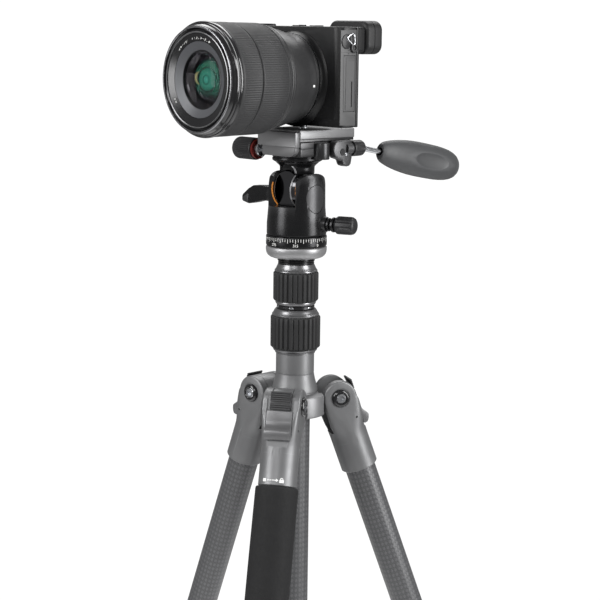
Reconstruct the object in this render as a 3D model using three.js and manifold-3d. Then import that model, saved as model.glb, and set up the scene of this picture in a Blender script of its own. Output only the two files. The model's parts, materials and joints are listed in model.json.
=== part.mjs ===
// A mirrorless camera with a standard zoom lens, on a compact carbon travel tripod.
// The tripod has a notched ball head, a side pan handle and a quick-release clamp.
// Millimetres, +Z up. The lens looks along -Y. The origin is on the ground, at the
// middle of the footprint.
import * as THREE from "three";
import { mergeVertices } from "three/addons/utils/BufferGeometryUtils.js";
import Module from "manifold-3d";

const wasm = await Module();
wasm.setup();

// ---- driving dimensions ----
const FIT = 0.3; // gap between pieces that touch, seat or slide

// legs
const LEG_LENGTH = 560; // leg pivot to ground, along the leg
const LEG_SPLAY = 20.1; // degrees from vertical, at the first angle stop
const LEG_AZIMUTHS = { a: -56.5, b: 63.5, c: 183.5 };
const LEG_PIVOT_RADIUS = 30; // leg pivots stand this far from the column axis
const LUG_RADIUS = 12;
const LUG_WIDTH = 14.4;
const CASTING_WALL = 2; // round the tube socket
const CASTING_LENGTH = 56; // below the pivot
const FORK_DEPTH = 29; // slot below the pivot
const PIVOT_BOLT_RADIUS = 3;
const BOLT_HEAD_RADIUS = 6.4;
const BOLT_HEAD_HEIGHT = 2.4;
const LEG_TUBE_RADIUS = 10.9;
const LEG_TUBE_WALL = 1.2;
const TUBE_SOCKET_DEPTH = 20;
const UPPER_TUBE_LENGTH = 280;
const LOCK_SLEEVE_WALL = 3; // round the tube
const LOCK_SLEEVE_LENGTH = 38;
const LOWER_TUBE_WALL = 1.2;
const LOWER_TUBE_OVERLAP = 50; // hidden in the upper tube when extended
const FOOT_WALL = 3.3; // round the lower tube
const FOOT_LENGTH = 24;
const GRIP_WALL = 3.8; // round the tube
const GRIP_LENGTH = 132;
const LATCH_WIDTH = 18.4;
const LATCH_THICKNESS = 1.7;
const LATCH_SEAT_DEPTH = 2; // flat cut into the casting's outer face
const LATCH_TOP = -5;
const LATCH_FOOT = -25.6;
const LATCH_LIP = 3.4;
const LATCH_BARS_TOP = 8.2;
const LATCH_TRAVEL = 4;
const LATCH_STOP_ANGLE = 50; // degrees, outer face of the latch tooth
const TOOTH_FOOT = -17;

// centre column
const COLUMN_RADIUS = 11;
const COLUMN_WALL = 1.5;
const COLUMN_LENGTH = 262;
const INNER_COLUMN_WALL = 1.5;
const INNER_COLUMN_LENGTH = 200;
const COLLAR_WALL = 2.1;
const COLLAR_HEIGHT = 32; // visible collar top, above the leg pivots
const CROWN_DEPTH = 12; // crown web below the leg pivots
const CROWN_WEB_RADIUS = 22;
const LOWER_LOCK_RADIUS = 17.5;
const LOWER_LOCK_HEIGHT = 31.2;
const UPPER_LOCK_RADIUS = 15.85;
const UPPER_LOCK_HEIGHT = 28.7;
const FITTING_WALL = 0.9; // thread of the upper lock, on the column
const LOCK_THREAD_DROP = 5; // a lock's thread ends this far below its top
const COLUMN_NECK_HEIGHT = 2.2;
const COLUMN_NECK_RADIUS = 13.3;
const HEAD_NECK_HEIGHT = 3.8;

// ball head
const BASE_PLATE_RADIUS = 21.25;
const BASE_PLATE_HEIGHT = 8.2;
const PAN_RING_RADIUS = 21.2;
const PAN_RING_HEIGHT = 7.4;
const SPIGOT_RADIUS = 8;
const BALL_RADIUS = 16;
const BALL_ROOM = 2 * FIT; // round the ball, in the housing and its seat ring
const BALL_FLOOR = 15.2; // under the ball, above the housing's foot
const HOUSING_WALL = 4.2; // round the ball's room
const HOUSING_RISE = 11.8; // housing's top above the ball's centre
const NOTCH_HALF_ANGLE = 36.5; // degrees
const NOTCH_APEX = 4; // behind the ball centre
const NOTCH_DROP = 11.2; // notch floor below the ball's centre
const MOUTH_LIP = 1.8; // the mouth's radius is this much less than the ball's
const SEAT_WALL = 1.533; // of the seat, outside the ball's radius
const SEAT_HALF = 2.6; // half the seat ring's height
const STEM_RADIUS = 10.4;
const DISC_RADIUS = 17.4;
const DISC_HEIGHT = 5.4;
const STEM_RISE = 9.2; // top of the ball to the disc's top
const LEVER_DROP = 5.5; // lever axis below the ball's centre
const PAN_KNOB_HEIGHT = 7.9; // above the housing's foot
const PAN_KNOB_AZIMUTH = 22; // degrees
const PAN_SCREW_RADIUS = 2.5;
const LEVER_SHAFT_RADIUS = 2.6;
const PAN_KNOB_REACH = 23.7; // the knob's end, outside the housing

// clamp, plate and handle
const CLAMP_HALF_WIDTH = 19;
const CLAMP_FRONT = -20;
const CLAMP_BACK = 33;
const CLAMP_BASE_HEIGHT = 5.8;
const DOVETAIL_HEIGHT = 3.6;
const DOVETAIL_TOP_HALF = 12;
const DOVETAIL_FOOT_HALF = 14.4;
const PLATE_NECK_HEIGHT = 2.2;
const PLATE_THICKNESS = 6.4;
const PLATE_LENGTH = 52;
const STOP_WALL_THICKNESS = 3.6;
const CLAMP_KNOB_RADIUS = 7.75;
const CLAMP_KNOB_LENGTH = 19.5;
const CLAMP_SCREW_RADIUS = 1.8;
const CLAMP_SCREW_Y = -12;
const WALL_SETBACK = 0.6; // stop wall, behind the clamp's front
const JAW_LIP = 13.9; // inner face of the loose jaw's lip, from the middle
const SCREW_HEAD_RADIUS = 7;
const SCREW_HEAD_ROOF = 3; // plate left above the tripod screw's head
const TRIPOD_SCREW_Y = 5;
const HANDLE_PIVOT_Y = 20;
const HANDLE_PIVOT_LEVEL = 2.6; // above the clamp's foot
const HANDLE_PIN_RADIUS = 2.4;
const HANDLE_CHEEK_INNER = -2; // bracket's inner face, from the clamp's side
const HANDLE_AXIS_OFFSET = 2.6; // handle's centre line, from the clamp's side
const SOCKET_RADIUS = 4.4; // bracket's socket, inside the collet
const SOCKET_BACK = 15; // behind the handle pivot
const COLLET_FRONT = 9.8; // collet's ends, behind the handle pivot
const COLLET_BACK = 21;
const HANDLE_SLOPE = 10.5; // degrees below level, along the grip
const ROD_SLOPE = 14;
const ROD_RADIUS = 1.9;
const HANDLE_GRIP_LENGTH = 83;
const HANDLE_GRIP_HEIGHT = 25;
const HANDLE_GRIP_WIDTH = 17;
const COLLET_RADIUS = 5.6;

// camera
const BODY_LEFT = -75.5;
const BODY_RIGHT = 44.5;
const BODY_HEIGHT = 67;
const BODY_FRONT = -3.5;
const BODY_SEAM = 11.2; // joint between front and rear shells
const BODY_BACK = 15;
const BODY_WALL = 2;
const GRIP_REACH = 20; // hand grip ahead of the front face
const GRIP_WIDTH = 22;
const GRIP_DROP = 6.5; // its top below the camera's top
const FINDER_BACK = 19.5;
const FINDER_LEFT = 10;
const FINDER_HEIGHT = 17;
const SCREEN_THICKNESS = 3.7;
const SCREEN_X = -3; // middle of the screen
const SCREEN_DROP = 4; // below the finder
const SCREEN_WIDTH = 74;
const SCREEN_HEIGHT = 44;
const EYECUP_DEPTH = 15.5;
const EYECUP_WIDTH = 38;
const EYECUP_HEIGHT = 22.4;
const EYEPIECE_INSET = 17; // eyepiece axis, from the finder's left
const EYEPIECE_RISE = 1.4; // above the finder's middle
const DOOR_FRONT = -0.4;
const DOOR_BACK = 10;
const DOOR_FOOT = 11;
const DOOR_TOP = 48;
const DOOR_THICKNESS = 1;
const BUTTON_X = -64;
const BUTTON_SETBACK = 9; // behind the hand grip's front
const BUTTON_RADIUS = 4.4;
const BUTTON_WELL_DEPTH = 2.2;
const BUTTON_TRAVEL = 1;
const MODE_DIAL_RADIUS = 6.2;
const CONTROL_DIAL_RADIUS = 5.4;
const MODE_DIAL_X = -36;
const CONTROL_DIAL_X = -60;
const DIAL_Y = 3.6;
const DIAL_SINK = 3;
const THROAT_RADIUS = 22;
const SENSOR_HALF_WIDTH = 20;
const SENSOR_HALF_HEIGHT = 16;
const SENSOR_FRONT = 4;
const SENSOR_THICKNESS = 2.4;
const SCREW_THREAD_RADIUS = 3;

// lens
const LENS_HEIGHT = 32; // optical axis above the camera's base
const MOUNT_RADIUS = 30.5;
const MOUNT_REACH = 5.2;
const BARREL_FRONT = -39;
const BARREL_RADIUS = 36;
const LENS_CORE_RADIUS = 33;
const LENS_CORE_BORE = 31.5;
const ZOOM_RING_RADIUS = 36.9;
const ZOOM_RING_LENGTH = 25.8;
const FOCUS_RING_RADIUS = 37.6;
const FOCUS_RING_LENGTH = 17.3;
const BEZEL_LENGTH = 8.2;
const BEZEL_RIM_RADIUS = 34.1;
const GLASS_RADIUS = 24;
const ZOOM_TRAVEL = 18;

// ---- worked-out sizes ----
const radians = THREE.MathUtils.degToRad;
const lowerTubeRadius = LEG_TUBE_RADIUS - LEG_TUBE_WALL - FIT;
const castingWidth = 2 * (LEG_TUBE_RADIUS + FIT + CASTING_WALL);
const latchSeatFace = castingWidth / 2 - LATCH_SEAT_DEPTH; // from the tube's axis
const lockSleeveRadius = LEG_TUBE_RADIUS + FIT + LOCK_SLEEVE_WALL;
const gripRadius = LEG_TUBE_RADIUS + FIT + GRIP_WALL;
const footRadius = lowerTubeRadius + FIT + FOOT_WALL;
const innerColumnRadius = COLUMN_RADIUS - COLUMN_WALL - FIT;
const fittingRadius = COLUMN_RADIUS + FITTING_WALL; // the upper lock's thread on the column
const housingRadius = BALL_RADIUS + BALL_ROOM + HOUSING_WALL;
const ballHeight = BALL_RADIUS + BALL_FLOOR; // ball centre above the housing's foot
const housingHeight = ballHeight + HOUSING_RISE;
const mouthRadius = BALL_RADIUS - MOUTH_LIP;
const seatRadius = BALL_RADIUS + SEAT_WALL;
const stemHeight = BALL_RADIUS + STEM_RISE; // ball centre to the disc's top
const jawFoot = CLAMP_BASE_HEIGHT + FIT;
const jawHeight = jawFoot + DOVETAIL_HEIGHT;
const screwLevel = CLAMP_BASE_HEIGHT / 2;
const plateFront = CLAMP_FRONT + WALL_SETBACK + STOP_WALL_THICKNESS + FIT;
const handGripTop = BODY_HEIGHT - GRIP_DROP;
const buttonY = BODY_FRONT - GRIP_REACH + BUTTON_SETBACK;
const eyepieceX = FINDER_LEFT + EYEPIECE_INSET;
const eyepieceZ = BODY_HEIGHT - FINDER_HEIGHT / 2 + EYEPIECE_RISE;
const screenTop = BODY_HEIGHT - FINDER_HEIGHT - SCREEN_DROP;

// ---- worked-out levels, above the leg pivots ----
const lowerLockFoot = COLLAR_HEIGHT + FIT;
const lowerLockTop = lowerLockFoot + LOWER_LOCK_HEIGHT;
const crownThreadTop = lowerLockTop - LOCK_THREAD_DROP;
const columnNeckFoot = lowerLockTop + FIT;
const columnNeckTop = columnNeckFoot + COLUMN_NECK_HEIGHT;
const upperLockFoot = columnNeckTop + FIT;
const upperLockTop = upperLockFoot + UPPER_LOCK_HEIGHT;
const fittingTop = upperLockTop - LOCK_THREAD_DROP;
const headNeckFoot = upperLockTop + FIT;
const headNeckTop = headNeckFoot + HEAD_NECK_HEIGHT;
const basePlateFoot = headNeckTop + FIT;
const panRingFoot = basePlateFoot + BASE_PLATE_HEIGHT + FIT;
const housingFoot = panRingFoot + PAN_RING_HEIGHT + FIT;
const ballLevel = housingFoot + ballHeight;
const discTop = ballLevel + stemHeight;
const clampFoot = discTop + FIT;
const clampBaseTop = clampFoot + CLAMP_BASE_HEIGHT;
const jawTop = clampBaseTop + FIT + DOVETAIL_HEIGHT;
const plateFoot = jawTop + PLATE_NECK_HEIGHT;
const plateTop = plateFoot + PLATE_THICKNESS;
const cameraFoot = plateTop + FIT;
const cameraTop = cameraFoot + BODY_HEIGHT;
const lensLevel = cameraFoot + LENS_HEIGHT;

// ---- solids ----
// A closed geometry as a solid that can be joined and cut.
function solid(geometry) {
  const bare = geometry.index ? geometry.toNonIndexed() : geometry.clone();
  bare.deleteAttribute("normal");
  bare.deleteAttribute("uv");
  const merged = mergeVertices(bare, 1e-4);
  return new wasm.Manifold(
    new wasm.Mesh({
      numProp: 3,
      vertProperties: new Float32Array(merged.attributes.position.array),
      triVerts: new Uint32Array(merged.index.array),
    }),
  );
}

// The geometry of a finished solid, with flat faces.
function geometryOf(shape) {
  const mesh = shape.getMesh();
  const geometry = new THREE.BufferGeometry();
  geometry.setAttribute("position", new THREE.BufferAttribute(mesh.vertProperties, 3));
  geometry.setIndex(new THREE.BufferAttribute(mesh.triVerts, 1));
  const faceted = geometry.toNonIndexed();
  faceted.computeVertexNormals();
  return faceted;
}

// A [radius, height] outline turned about Z, listed up the outside and down the inside.
function turned(profile, segments = 16) {
  const outline = profile.map(([radius, height]) => new THREE.Vector2(radius, height));
  outline.push(outline[0].clone());
  const geometry = new THREE.LatheGeometry(outline, segments);
  return solid(geometry.rotateX(Math.PI / 2));
}

function rod(radius, bottom, top, segments = 16) {
  return turned([[0, bottom], [radius, bottom], [radius, top], [0, top]], segments);
}

function sleeve(outer, inner, bottom, top, segments = 16) {
  return turned([[outer, bottom], [outer, top], [inner, top], [inner, bottom]], segments);
}

function box(x0, x1, y0, y1, z0, z1) {
  const geometry = new THREE.BoxGeometry(x1 - x0, y1 - y0, z1 - z0);
  return solid(geometry.translate((x0 + x1) / 2, (y0 + y1) / 2, (z0 + z1) / 2));
}

function outlineOf(points) {
  return new THREE.Shape(points.map(([x, y]) => new THREE.Vector2(x, y)));
}

function roundedRectangle(x0, x1, y0, y1, radius) {
  const shape = new THREE.Shape();
  shape.moveTo(x0 + radius, y0);
  shape.lineTo(x1 - radius, y0);
  shape.absarc(x1 - radius, y0 + radius, radius, -Math.PI / 2, 0);
  shape.lineTo(x1, y1 - radius);
  shape.absarc(x1 - radius, y1 - radius, radius, 0, Math.PI / 2);
  shape.lineTo(x0 + radius, y1);
  shape.absarc(x0 + radius, y1 - radius, radius, Math.PI / 2, Math.PI);
  shape.lineTo(x0, y0 + radius);
  shape.absarc(x0 + radius, y0 + radius, radius, Math.PI, 1.5 * Math.PI);
  return shape;
}

// An outline in X and Y raised from bottom to top; a bevel rounds its edges inside that size.
function raised(shape, bottom, top, bevel = 0) {
  const geometry = new THREE.ExtrudeGeometry(shape, {
    depth: top - bottom - 2 * bevel,
    curveSegments: 3,
    bevelEnabled: bevel > 0,
    bevelThickness: bevel,
    bevelSize: bevel,
    bevelOffset: -bevel,
    bevelSegments: 1,
  });
  return solid(geometry.translate(0, 0, bottom + bevel));
}

const upright = new THREE.Matrix4().makeRotationX(Math.PI / 2); // Y to Z, Z to -Y
const alongMinusX = new THREE.Matrix4().makeRotationY(-Math.PI / 2); // Z to -X

function moved(shape, matrix) {
  return shape.transform(matrix.elements);
}

function shifted(shape, x, y, z) {
  return shape.translate([x, y, z]);
}

// An outline in X and Z, with its thickness from y0 to y1.
function standing(shape, y0, y1, bevel = 0) {
  return moved(raised(shape, -y1, -y0, bevel), upright);
}

// A [radius, y] outline turned about the Y axis, listed towards -Y along the outside.
function turnedAlongY(profile, segments = 24) {
  const flipped = profile.map(([radius, y]) => [radius, -y]);
  return moved(turned(flipped, segments), upright);
}

// ---- materials ----
function material(color, roughness, metalness) {
  return new THREE.MeshStandardMaterial({ color, roughness, metalness });
}

const greyMetal = material(0x6d6e70, 0.5, 0.6);
const darkMetal = material(0x2b2c2e, 0.4, 0.6);
const blackMetal = material(0x151516, 0.35, 0.5);
const brightSteel = material(0xb8bbbf, 0.25, 1);
const carbon = material(0x4c4d50, 0.35, 0.2);
const rubber = material(0x1b1b1c, 0.85, 0);
const foam = material(0x2a2a2c, 0.9, 0);
const blackPlastic = material(0x121213, 0.5, 0);
const orangeRing = material(0xd9822b, 0.45, 0.1);
const ballMetal = material(0x3a3b3d, 0.25, 0.9);
const lensGlass = material(0x1d3a3a, 0.05, 0);
const screenGlass = material(0x0b0c0e, 0.1, 0);
const cellPlastic = material(0x303236, 0.6, 0);
const boardGreen = material(0x20512f, 0.6, 0);

const tripod = new THREE.Group();
const stand = new THREE.Group(); // its origin is on the column axis, level with the leg pivots
stand.position.z = LEG_LENGTH * Math.cos(radians(LEG_SPLAY));
tripod.add(stand);

function piece(name, shape, finish, parent) {
  const mesh = new THREE.Mesh(geometryOf(shape), finish);
  mesh.name = name;
  parent.add(mesh);
  return mesh;
}

function level(height, parent = stand) {
  const group = new THREE.Group();
  group.position.z = height;
  parent.add(group);
  return group;
}

// ---- legs: the origin is the pivot, the leg runs down -Z, +X faces outwards ----
function sideCylinder(radius, y0, y1, x = 0, z = 0, segments = 16) {
  return shifted(moved(rod(radius, -y1, -y0, segments), upright), x, 0, z);
}

function legCasting() {
  const half = castingWidth / 2;
  const tubeTop = -CASTING_LENGTH + TUBE_SOCKET_DEPTH;
  const side = new THREE.Shape();
  side.moveTo(-LUG_RADIUS, 0);
  side.lineTo(-half, -FORK_DEPTH - 6);
  side.lineTo(half, -FORK_DEPTH - 6);
  side.lineTo(half, -LUG_RADIUS / 2);
  side.absarc(0, 0, LUG_RADIUS, -Math.PI / 8, Math.PI);
  const arms = standing(side, -half, half, 1.2);
  const barrel = turned([
    [0, -CASTING_LENGTH],
    [half - 0.8, -CASTING_LENGTH],
    [half, -CASTING_LENGTH + 1.5],
    [half, -FORK_DEPTH - 5],
    [half - 2, -FORK_DEPTH + 1],
    [0, -FORK_DEPTH + 1],
  ]);
  const slotHalf = LUG_WIDTH / 2 + FIT;
  const slot = box(-2 * half, 2 * half, -slotHalf, slotHalf, -FORK_DEPTH, 2 * LUG_RADIUS);
  const socket = rod(LEG_TUBE_RADIUS + FIT, -CASTING_LENGTH - 1, tubeTop + FIT);
  const boltHole = sideCylinder(PIVOT_BOLT_RADIUS + FIT, -half - 1, half + 1);
  const tubeBore = rod(LEG_TUBE_RADIUS - 4, tubeTop - 1, -FORK_DEPTH + 1);
  const latchHalf = LATCH_WIDTH / 2 + FIT;
  const latchSeat = box(
    latchSeatFace,
    2 * half,
    -latchHalf,
    latchHalf,
    LATCH_FOOT - LATCH_TRAVEL - FIT,
    2 * LUG_RADIUS,
  );
  return arms
    .add(barrel)
    .subtract(slot)
    .subtract(socket)
    .subtract(boltHole)
    .subtract(tubeBore)
    .subtract(latchSeat);
}

function pivotBolt() {
  const half = castingWidth / 2 + FIT;
  const rim = BOLT_HEAD_HEIGHT * 0.35;
  const hexDepth = BOLT_HEAD_HEIGHT * 0.7;
  const end = half + BOLT_HEAD_HEIGHT;
  const bolt = turned([
    [0, -end],
    [BOLT_HEAD_RADIUS - rim, -end],
    [BOLT_HEAD_RADIUS, -end + rim],
    [BOLT_HEAD_RADIUS, -half],
    [PIVOT_BOLT_RADIUS, -half],
    [PIVOT_BOLT_RADIUS, half],
    [BOLT_HEAD_RADIUS, half],
    [BOLT_HEAD_RADIUS, end - rim],
    [BOLT_HEAD_RADIUS - rim, end],
    [0, end],
  ], 12);
  const hexagon = rod(BOLT_HEAD_RADIUS * 0.45, end - hexDepth, end + 1, 6);
  const otherHexagon = rod(BOLT_HEAD_RADIUS * 0.45, -end - 1, -end + hexDepth, 6);
  return moved(bolt.subtract(hexagon).subtract(otherHexagon), upright);
}

// The spring latch: a cover plate, ribbed above, with a tooth that meets the crown's stop.
function angleLatch() {
  const face = latchSeatFace + FIT;
  const out = face + LATCH_THICKNESS;
  const cover = standing(outlineOf([
    [face, LATCH_TOP],
    [face, LATCH_FOOT],
    [out + LATCH_LIP * 0.2, LATCH_FOOT],
    [out + LATCH_LIP * 0.8, LATCH_FOOT + 3],
    [out + LATCH_LIP, LATCH_FOOT + 5.8],
    [out + LATCH_LIP * 0.7, LATCH_FOOT + 7.6],
    [out, LATCH_FOOT + 11.6],
    [out, LATCH_TOP - 1],
    [out - 0.6, LATCH_TOP],
  ]), -LATCH_WIDTH / 2, LATCH_WIDTH / 2);
  // the bars stay clear of the round lug behind them while the latch is pulled down
  const lug = LUG_RADIUS + FIT;
  const bars = standing(outlineOf([
    [face, LATCH_TOP - 1],
    [out - 0.2, LATCH_TOP - 1],
    [lug + 0.9, LATCH_TOP + 0.4],
    [lug + 0.9, -0.4],
    [lug + 0.5, 0],
    [lug + 0.5, 0.8],
    [lug + 1, 1.2],
    [lug + 0.9, LATCH_BARS_TOP - 1],
    [lug + 0.3, LATCH_BARS_TOP],
    [lug - 0.55, LATCH_BARS_TOP],
    [lug, LATCH_TRAVEL],
    [lug, 0],
    [lug - 0.4, -3],
  ]), -LUG_WIDTH / 2, LUG_WIDTH / 2);
  const toothInner = LUG_RADIUS - 2.3;
  const toothHalf = LUG_WIDTH / 2 - 0.4;
  const stopAngle = radians(LATCH_STOP_ANGLE);
  const innerAngle = radians(LATCH_STOP_ANGLE - 30);
  const reach = (face + 0.1) / Math.sin(stopAngle);
  const at = (radius, angle) => [radius * Math.sin(angle), -radius * Math.cos(angle)];
  const tooth = standing(outlineOf([
    at(toothInner, stopAngle),
    at(toothInner, (stopAngle + innerAngle) / 2),
    at(toothInner, innerAngle),
    [at(toothInner, innerAngle)[0] + 2, TOOTH_FOOT],
    [face + 0.1, TOOTH_FOOT],
    at(reach, stopAngle),
  ].reverse()), -toothHalf, toothHalf);
  return cover.add(bars).add(tooth);
}

function upperLegTube() {
  const top = -CASTING_LENGTH + TUBE_SOCKET_DEPTH - FIT;
  const inner = LEG_TUBE_RADIUS - LEG_TUBE_WALL;
  return sleeve(LEG_TUBE_RADIUS, inner, top - UPPER_TUBE_LENGTH, top);
}

const upperTubeFoot = -CASTING_LENGTH + TUBE_SOCKET_DEPTH - FIT - UPPER_TUBE_LENGTH;
const sleeveTop = upperTubeFoot + 20;
const sleeveFoot = sleeveTop - LOCK_SLEEVE_LENGTH;

function lockSleeve() {
  const grip = lockSleeveRadius;
  const wide = LEG_TUBE_RADIUS + FIT;
  const narrow = lowerTubeRadius + FIT;
  const step = upperTubeFoot - FIT;
  return turned([
    [grip - 1.8, sleeveFoot],
    [grip - 0.8, sleeveFoot + 3],
    [grip, sleeveFoot + 6],
    [grip, sleeveTop - 6],
    [grip - 0.8, sleeveTop - 4],
    [grip - 1.6, sleeveTop],
    [wide, sleeveTop],
    [wide, step],
    [narrow, step],
    [narrow, sleeveFoot],
  ]);
}

function lowerLegTube() {
  const inner = lowerTubeRadius - LOWER_TUBE_WALL;
  const foot = -LEG_LENGTH + FOOT_LENGTH - 8;
  return sleeve(lowerTubeRadius, inner, foot, upperTubeFoot + LOWER_TUBE_OVERLAP);
}

// A rubber foot, with its sole cut level when the leg is at its splay.
function rubberFoot() {
  const top = -LEG_LENGTH + FOOT_LENGTH;
  const bore = lowerTubeRadius + FIT;
  const body = turned([
    [0, -LEG_LENGTH - 8],
    [footRadius, -LEG_LENGTH - 8],
    [footRadius, top - 9],
    [footRadius - 1.4, top],
    [bore, top],
    [bore, top - 8 - FIT],
    [0, top - 8 - FIT],
  ]);
  const ground = box(-40, 40, -40, 40, -40, 0);
  const level = new THREE.Matrix4().makeRotationY(radians(LEG_SPLAY));
  level.setPosition(0, 0, -LEG_LENGTH);
  return body.subtract(moved(ground, level));
}

function legGrip() {
  const top = -CASTING_LENGTH - FIT;
  const wall = LEG_TUBE_RADIUS + FIT;
  return turned([
    [gripRadius - 1, top - GRIP_LENGTH],
    [gripRadius, top - GRIP_LENGTH + 1.5],
    [gripRadius, top - 1.5],
    [gripRadius - 1, top],
    [wall, top],
    [wall, top - GRIP_LENGTH],
  ]);
}

for (const [side, azimuth] of Object.entries(LEG_AZIMUTHS)) {
  const bearing = new THREE.Group();
  bearing.rotation.z = radians(azimuth);
  stand.add(bearing);
  const leg = new THREE.Group();
  leg.position.x = LEG_PIVOT_RADIUS;
  leg.rotation.y = -radians(LEG_SPLAY);
  bearing.add(leg);
  piece(`leg_${side}_casting`, legCasting(), greyMetal, leg);
  piece(`leg_${side}_pivot_bolt`, pivotBolt(), blackMetal, leg);
  piece(`leg_${side}_angle_latch`, angleLatch(), darkMetal, leg);
  piece(`leg_${side}_upper_tube`, upperLegTube(), carbon, leg);
  piece(`leg_${side}_lock_sleeve`, lockSleeve(), rubber, leg);
  piece(`leg_${side}_lower_tube`, lowerLegTube(), carbon, leg);
  piece(`leg_${side}_foot`, rubberFoot(), rubber, leg);
  if (side === "a") piece("leg_grip", legGrip(), foam, leg);
}

// ---- crown: the hub, its collar and the three leg lugs ----
function crown() {
  const bore = COLUMN_RADIUS + FIT;
  const collar = bore + COLLAR_WALL;
  let body = turned([
    [CROWN_WEB_RADIUS - 1.5, -CROWN_DEPTH],
    [CROWN_WEB_RADIUS, -CROWN_DEPTH + 1.5],
    [CROWN_WEB_RADIUS, 1.5],
    [CROWN_WEB_RADIUS - 1.5, 3],
    [16.3, 3.6],
    [15.7, 4],
    [15.7, 4.6],
    [16.3, 5],
    [15.2, 9],
    [14, 13],
    [collar, 16],
    [collar, crownThreadTop],
    [bore, crownThreadTop],
    [bore, -CROWN_DEPTH],
  ]);
  const half = LUG_WIDTH / 2;
  const clear = LUG_RADIUS + 0.6;
  const pocketHalf = castingWidth / 2 + FIT + BOLT_HEAD_HEIGHT + 1;
  const stop = radians(LATCH_STOP_ANGLE + 1.5);
  for (const azimuth of Object.values(LEG_AZIMUTHS)) {
    const turn = new THREE.Matrix4().makeRotationZ(radians(azimuth));
    const pivot = LEG_PIVOT_RADIUS;
    const pocketRound = sideCylinder(clear, half, pocketHalf, pivot);
    const pocketBelow = box(pivot - clear, pivot + clear, half, pocketHalf, -40, 0);
    const pocket = pocketRound.add(pocketBelow);
    const otherPocket = pocket.mirror([0, 1, 0]);
    const arm = box(bore + 1, pivot, -half, half, -CROWN_DEPTH + 0.4, 2.6);
    const hollow = rod(bore, -40, 60);
    const lug = sideCylinder(LUG_RADIUS, -half, half, pivot);
    const boltHole = sideCylinder(PIVOT_BOLT_RADIUS + FIT, -half - 1, half + 1, pivot);
    // the notch in which the latch tooth travels; its outer face is the angle stop
    const splay = radians(LEG_SPLAY);
    const at = (radius, angle) => [
      pivot + radius * Math.sin(angle + splay),
      -radius * Math.cos(angle + splay),
    ];
    const inner = LUG_RADIUS - 2.7;
    const outer = LUG_RADIUS + 14;
    const start = radians(-2);
    const track = standing(outlineOf([
      at(inner, start),
      at(outer, start),
      at(outer, (start + stop) / 2),
      at(outer, stop),
      at(inner, stop),
      at(inner * 0.99, (stop * 2 + start) / 3),
      at(inner * 0.99, (stop + start * 2) / 3),
    ]), -half - 1, half + 1);
    body = body.subtract(moved(pocket.add(otherPocket), turn));
    const ear = arm.add(lug).subtract(hollow).subtract(boltHole).subtract(track);
    body = body.add(moved(ear, turn));
  }
  return body;
}
piece("crown", crown(), greyMetal, stand);

// ---- centre column, its two twist locks and the inner column ----
piece("column_lock_sleeve", turned([
  [LOWER_LOCK_RADIUS - 1.8, lowerLockFoot],
  [LOWER_LOCK_RADIUS - 1.8, lowerLockFoot + 4],
  [LOWER_LOCK_RADIUS, lowerLockFoot + 4.4],
  [LOWER_LOCK_RADIUS, lowerLockTop - 5.4],
  [LOWER_LOCK_RADIUS - 0.8, lowerLockTop - 4.6],
  [COLUMN_NECK_RADIUS + 0.7, lowerLockTop],
  [COLUMN_RADIUS + FIT, lowerLockTop],
  [COLUMN_RADIUS + FIT, crownThreadTop + FIT],
  [COLUMN_RADIUS + COLLAR_WALL + 2 * FIT, crownThreadTop + FIT],
  [COLUMN_RADIUS + COLLAR_WALL + 2 * FIT, lowerLockFoot],
]), rubber, stand);

piece("column_tube", turned([
  [COLUMN_RADIUS, columnNeckTop - COLUMN_LENGTH],
  [COLUMN_RADIUS, columnNeckFoot],
  [COLUMN_NECK_RADIUS, columnNeckFoot],
  [COLUMN_NECK_RADIUS, columnNeckTop],
  [fittingRadius, columnNeckTop],
  [fittingRadius, fittingTop],
  [COLUMN_RADIUS - COLUMN_WALL, fittingTop],
  [COLUMN_RADIUS - COLUMN_WALL, columnNeckTop - COLUMN_LENGTH],
]), carbon, stand);

piece("upper_column_lock_sleeve", turned([
  [UPPER_LOCK_RADIUS - 1.6, upperLockFoot],
  [UPPER_LOCK_RADIUS - 1.6, upperLockFoot + 3],
  [UPPER_LOCK_RADIUS, upperLockFoot + 3.4],
  [UPPER_LOCK_RADIUS, upperLockTop - 6],
  [UPPER_LOCK_RADIUS - 0.6, upperLockTop - 5.4],
  [UPPER_LOCK_RADIUS - 2.4, upperLockTop],
  [innerColumnRadius + FIT, upperLockTop],
  [innerColumnRadius + FIT, fittingTop + FIT],
  [fittingRadius + FIT, fittingTop + FIT],
  [fittingRadius + FIT, upperLockFoot],
]), rubber, stand);

piece("inner_column", turned([
  [innerColumnRadius, headNeckFoot - INNER_COLUMN_LENGTH],
  [innerColumnRadius, headNeckFoot],
  [12.6, headNeckFoot],
  [12.6, headNeckFoot + 1.2],
  [12.2, headNeckFoot + 1.6],
  [13.1, headNeckFoot + 2.2],
  [13.1, headNeckTop],
  [0, headNeckTop],
  [0, headNeckFoot],
  [innerColumnRadius - INNER_COLUMN_WALL, headNeckFoot],
  [innerColumnRadius - INNER_COLUMN_WALL, headNeckFoot - INNER_COLUMN_LENGTH],
]), carbon, stand);

const columnFoot = columnNeckTop - COLUMN_LENGTH;
const capPlug = COLUMN_RADIUS - COLUMN_WALL - FIT;
piece("column_end_cap", turned([
  [0, columnFoot - 7],
  [COLUMN_RADIUS - 2, columnFoot - 7],
  [COLUMN_RADIUS + 0.6, columnFoot - 4.5],
  [COLUMN_RADIUS + 0.6, columnFoot - FIT],
  [capPlug, columnFoot - FIT],
  [capPlug, columnFoot + 9],
  [0, columnFoot + 9],
]), blackPlastic, stand);

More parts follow.
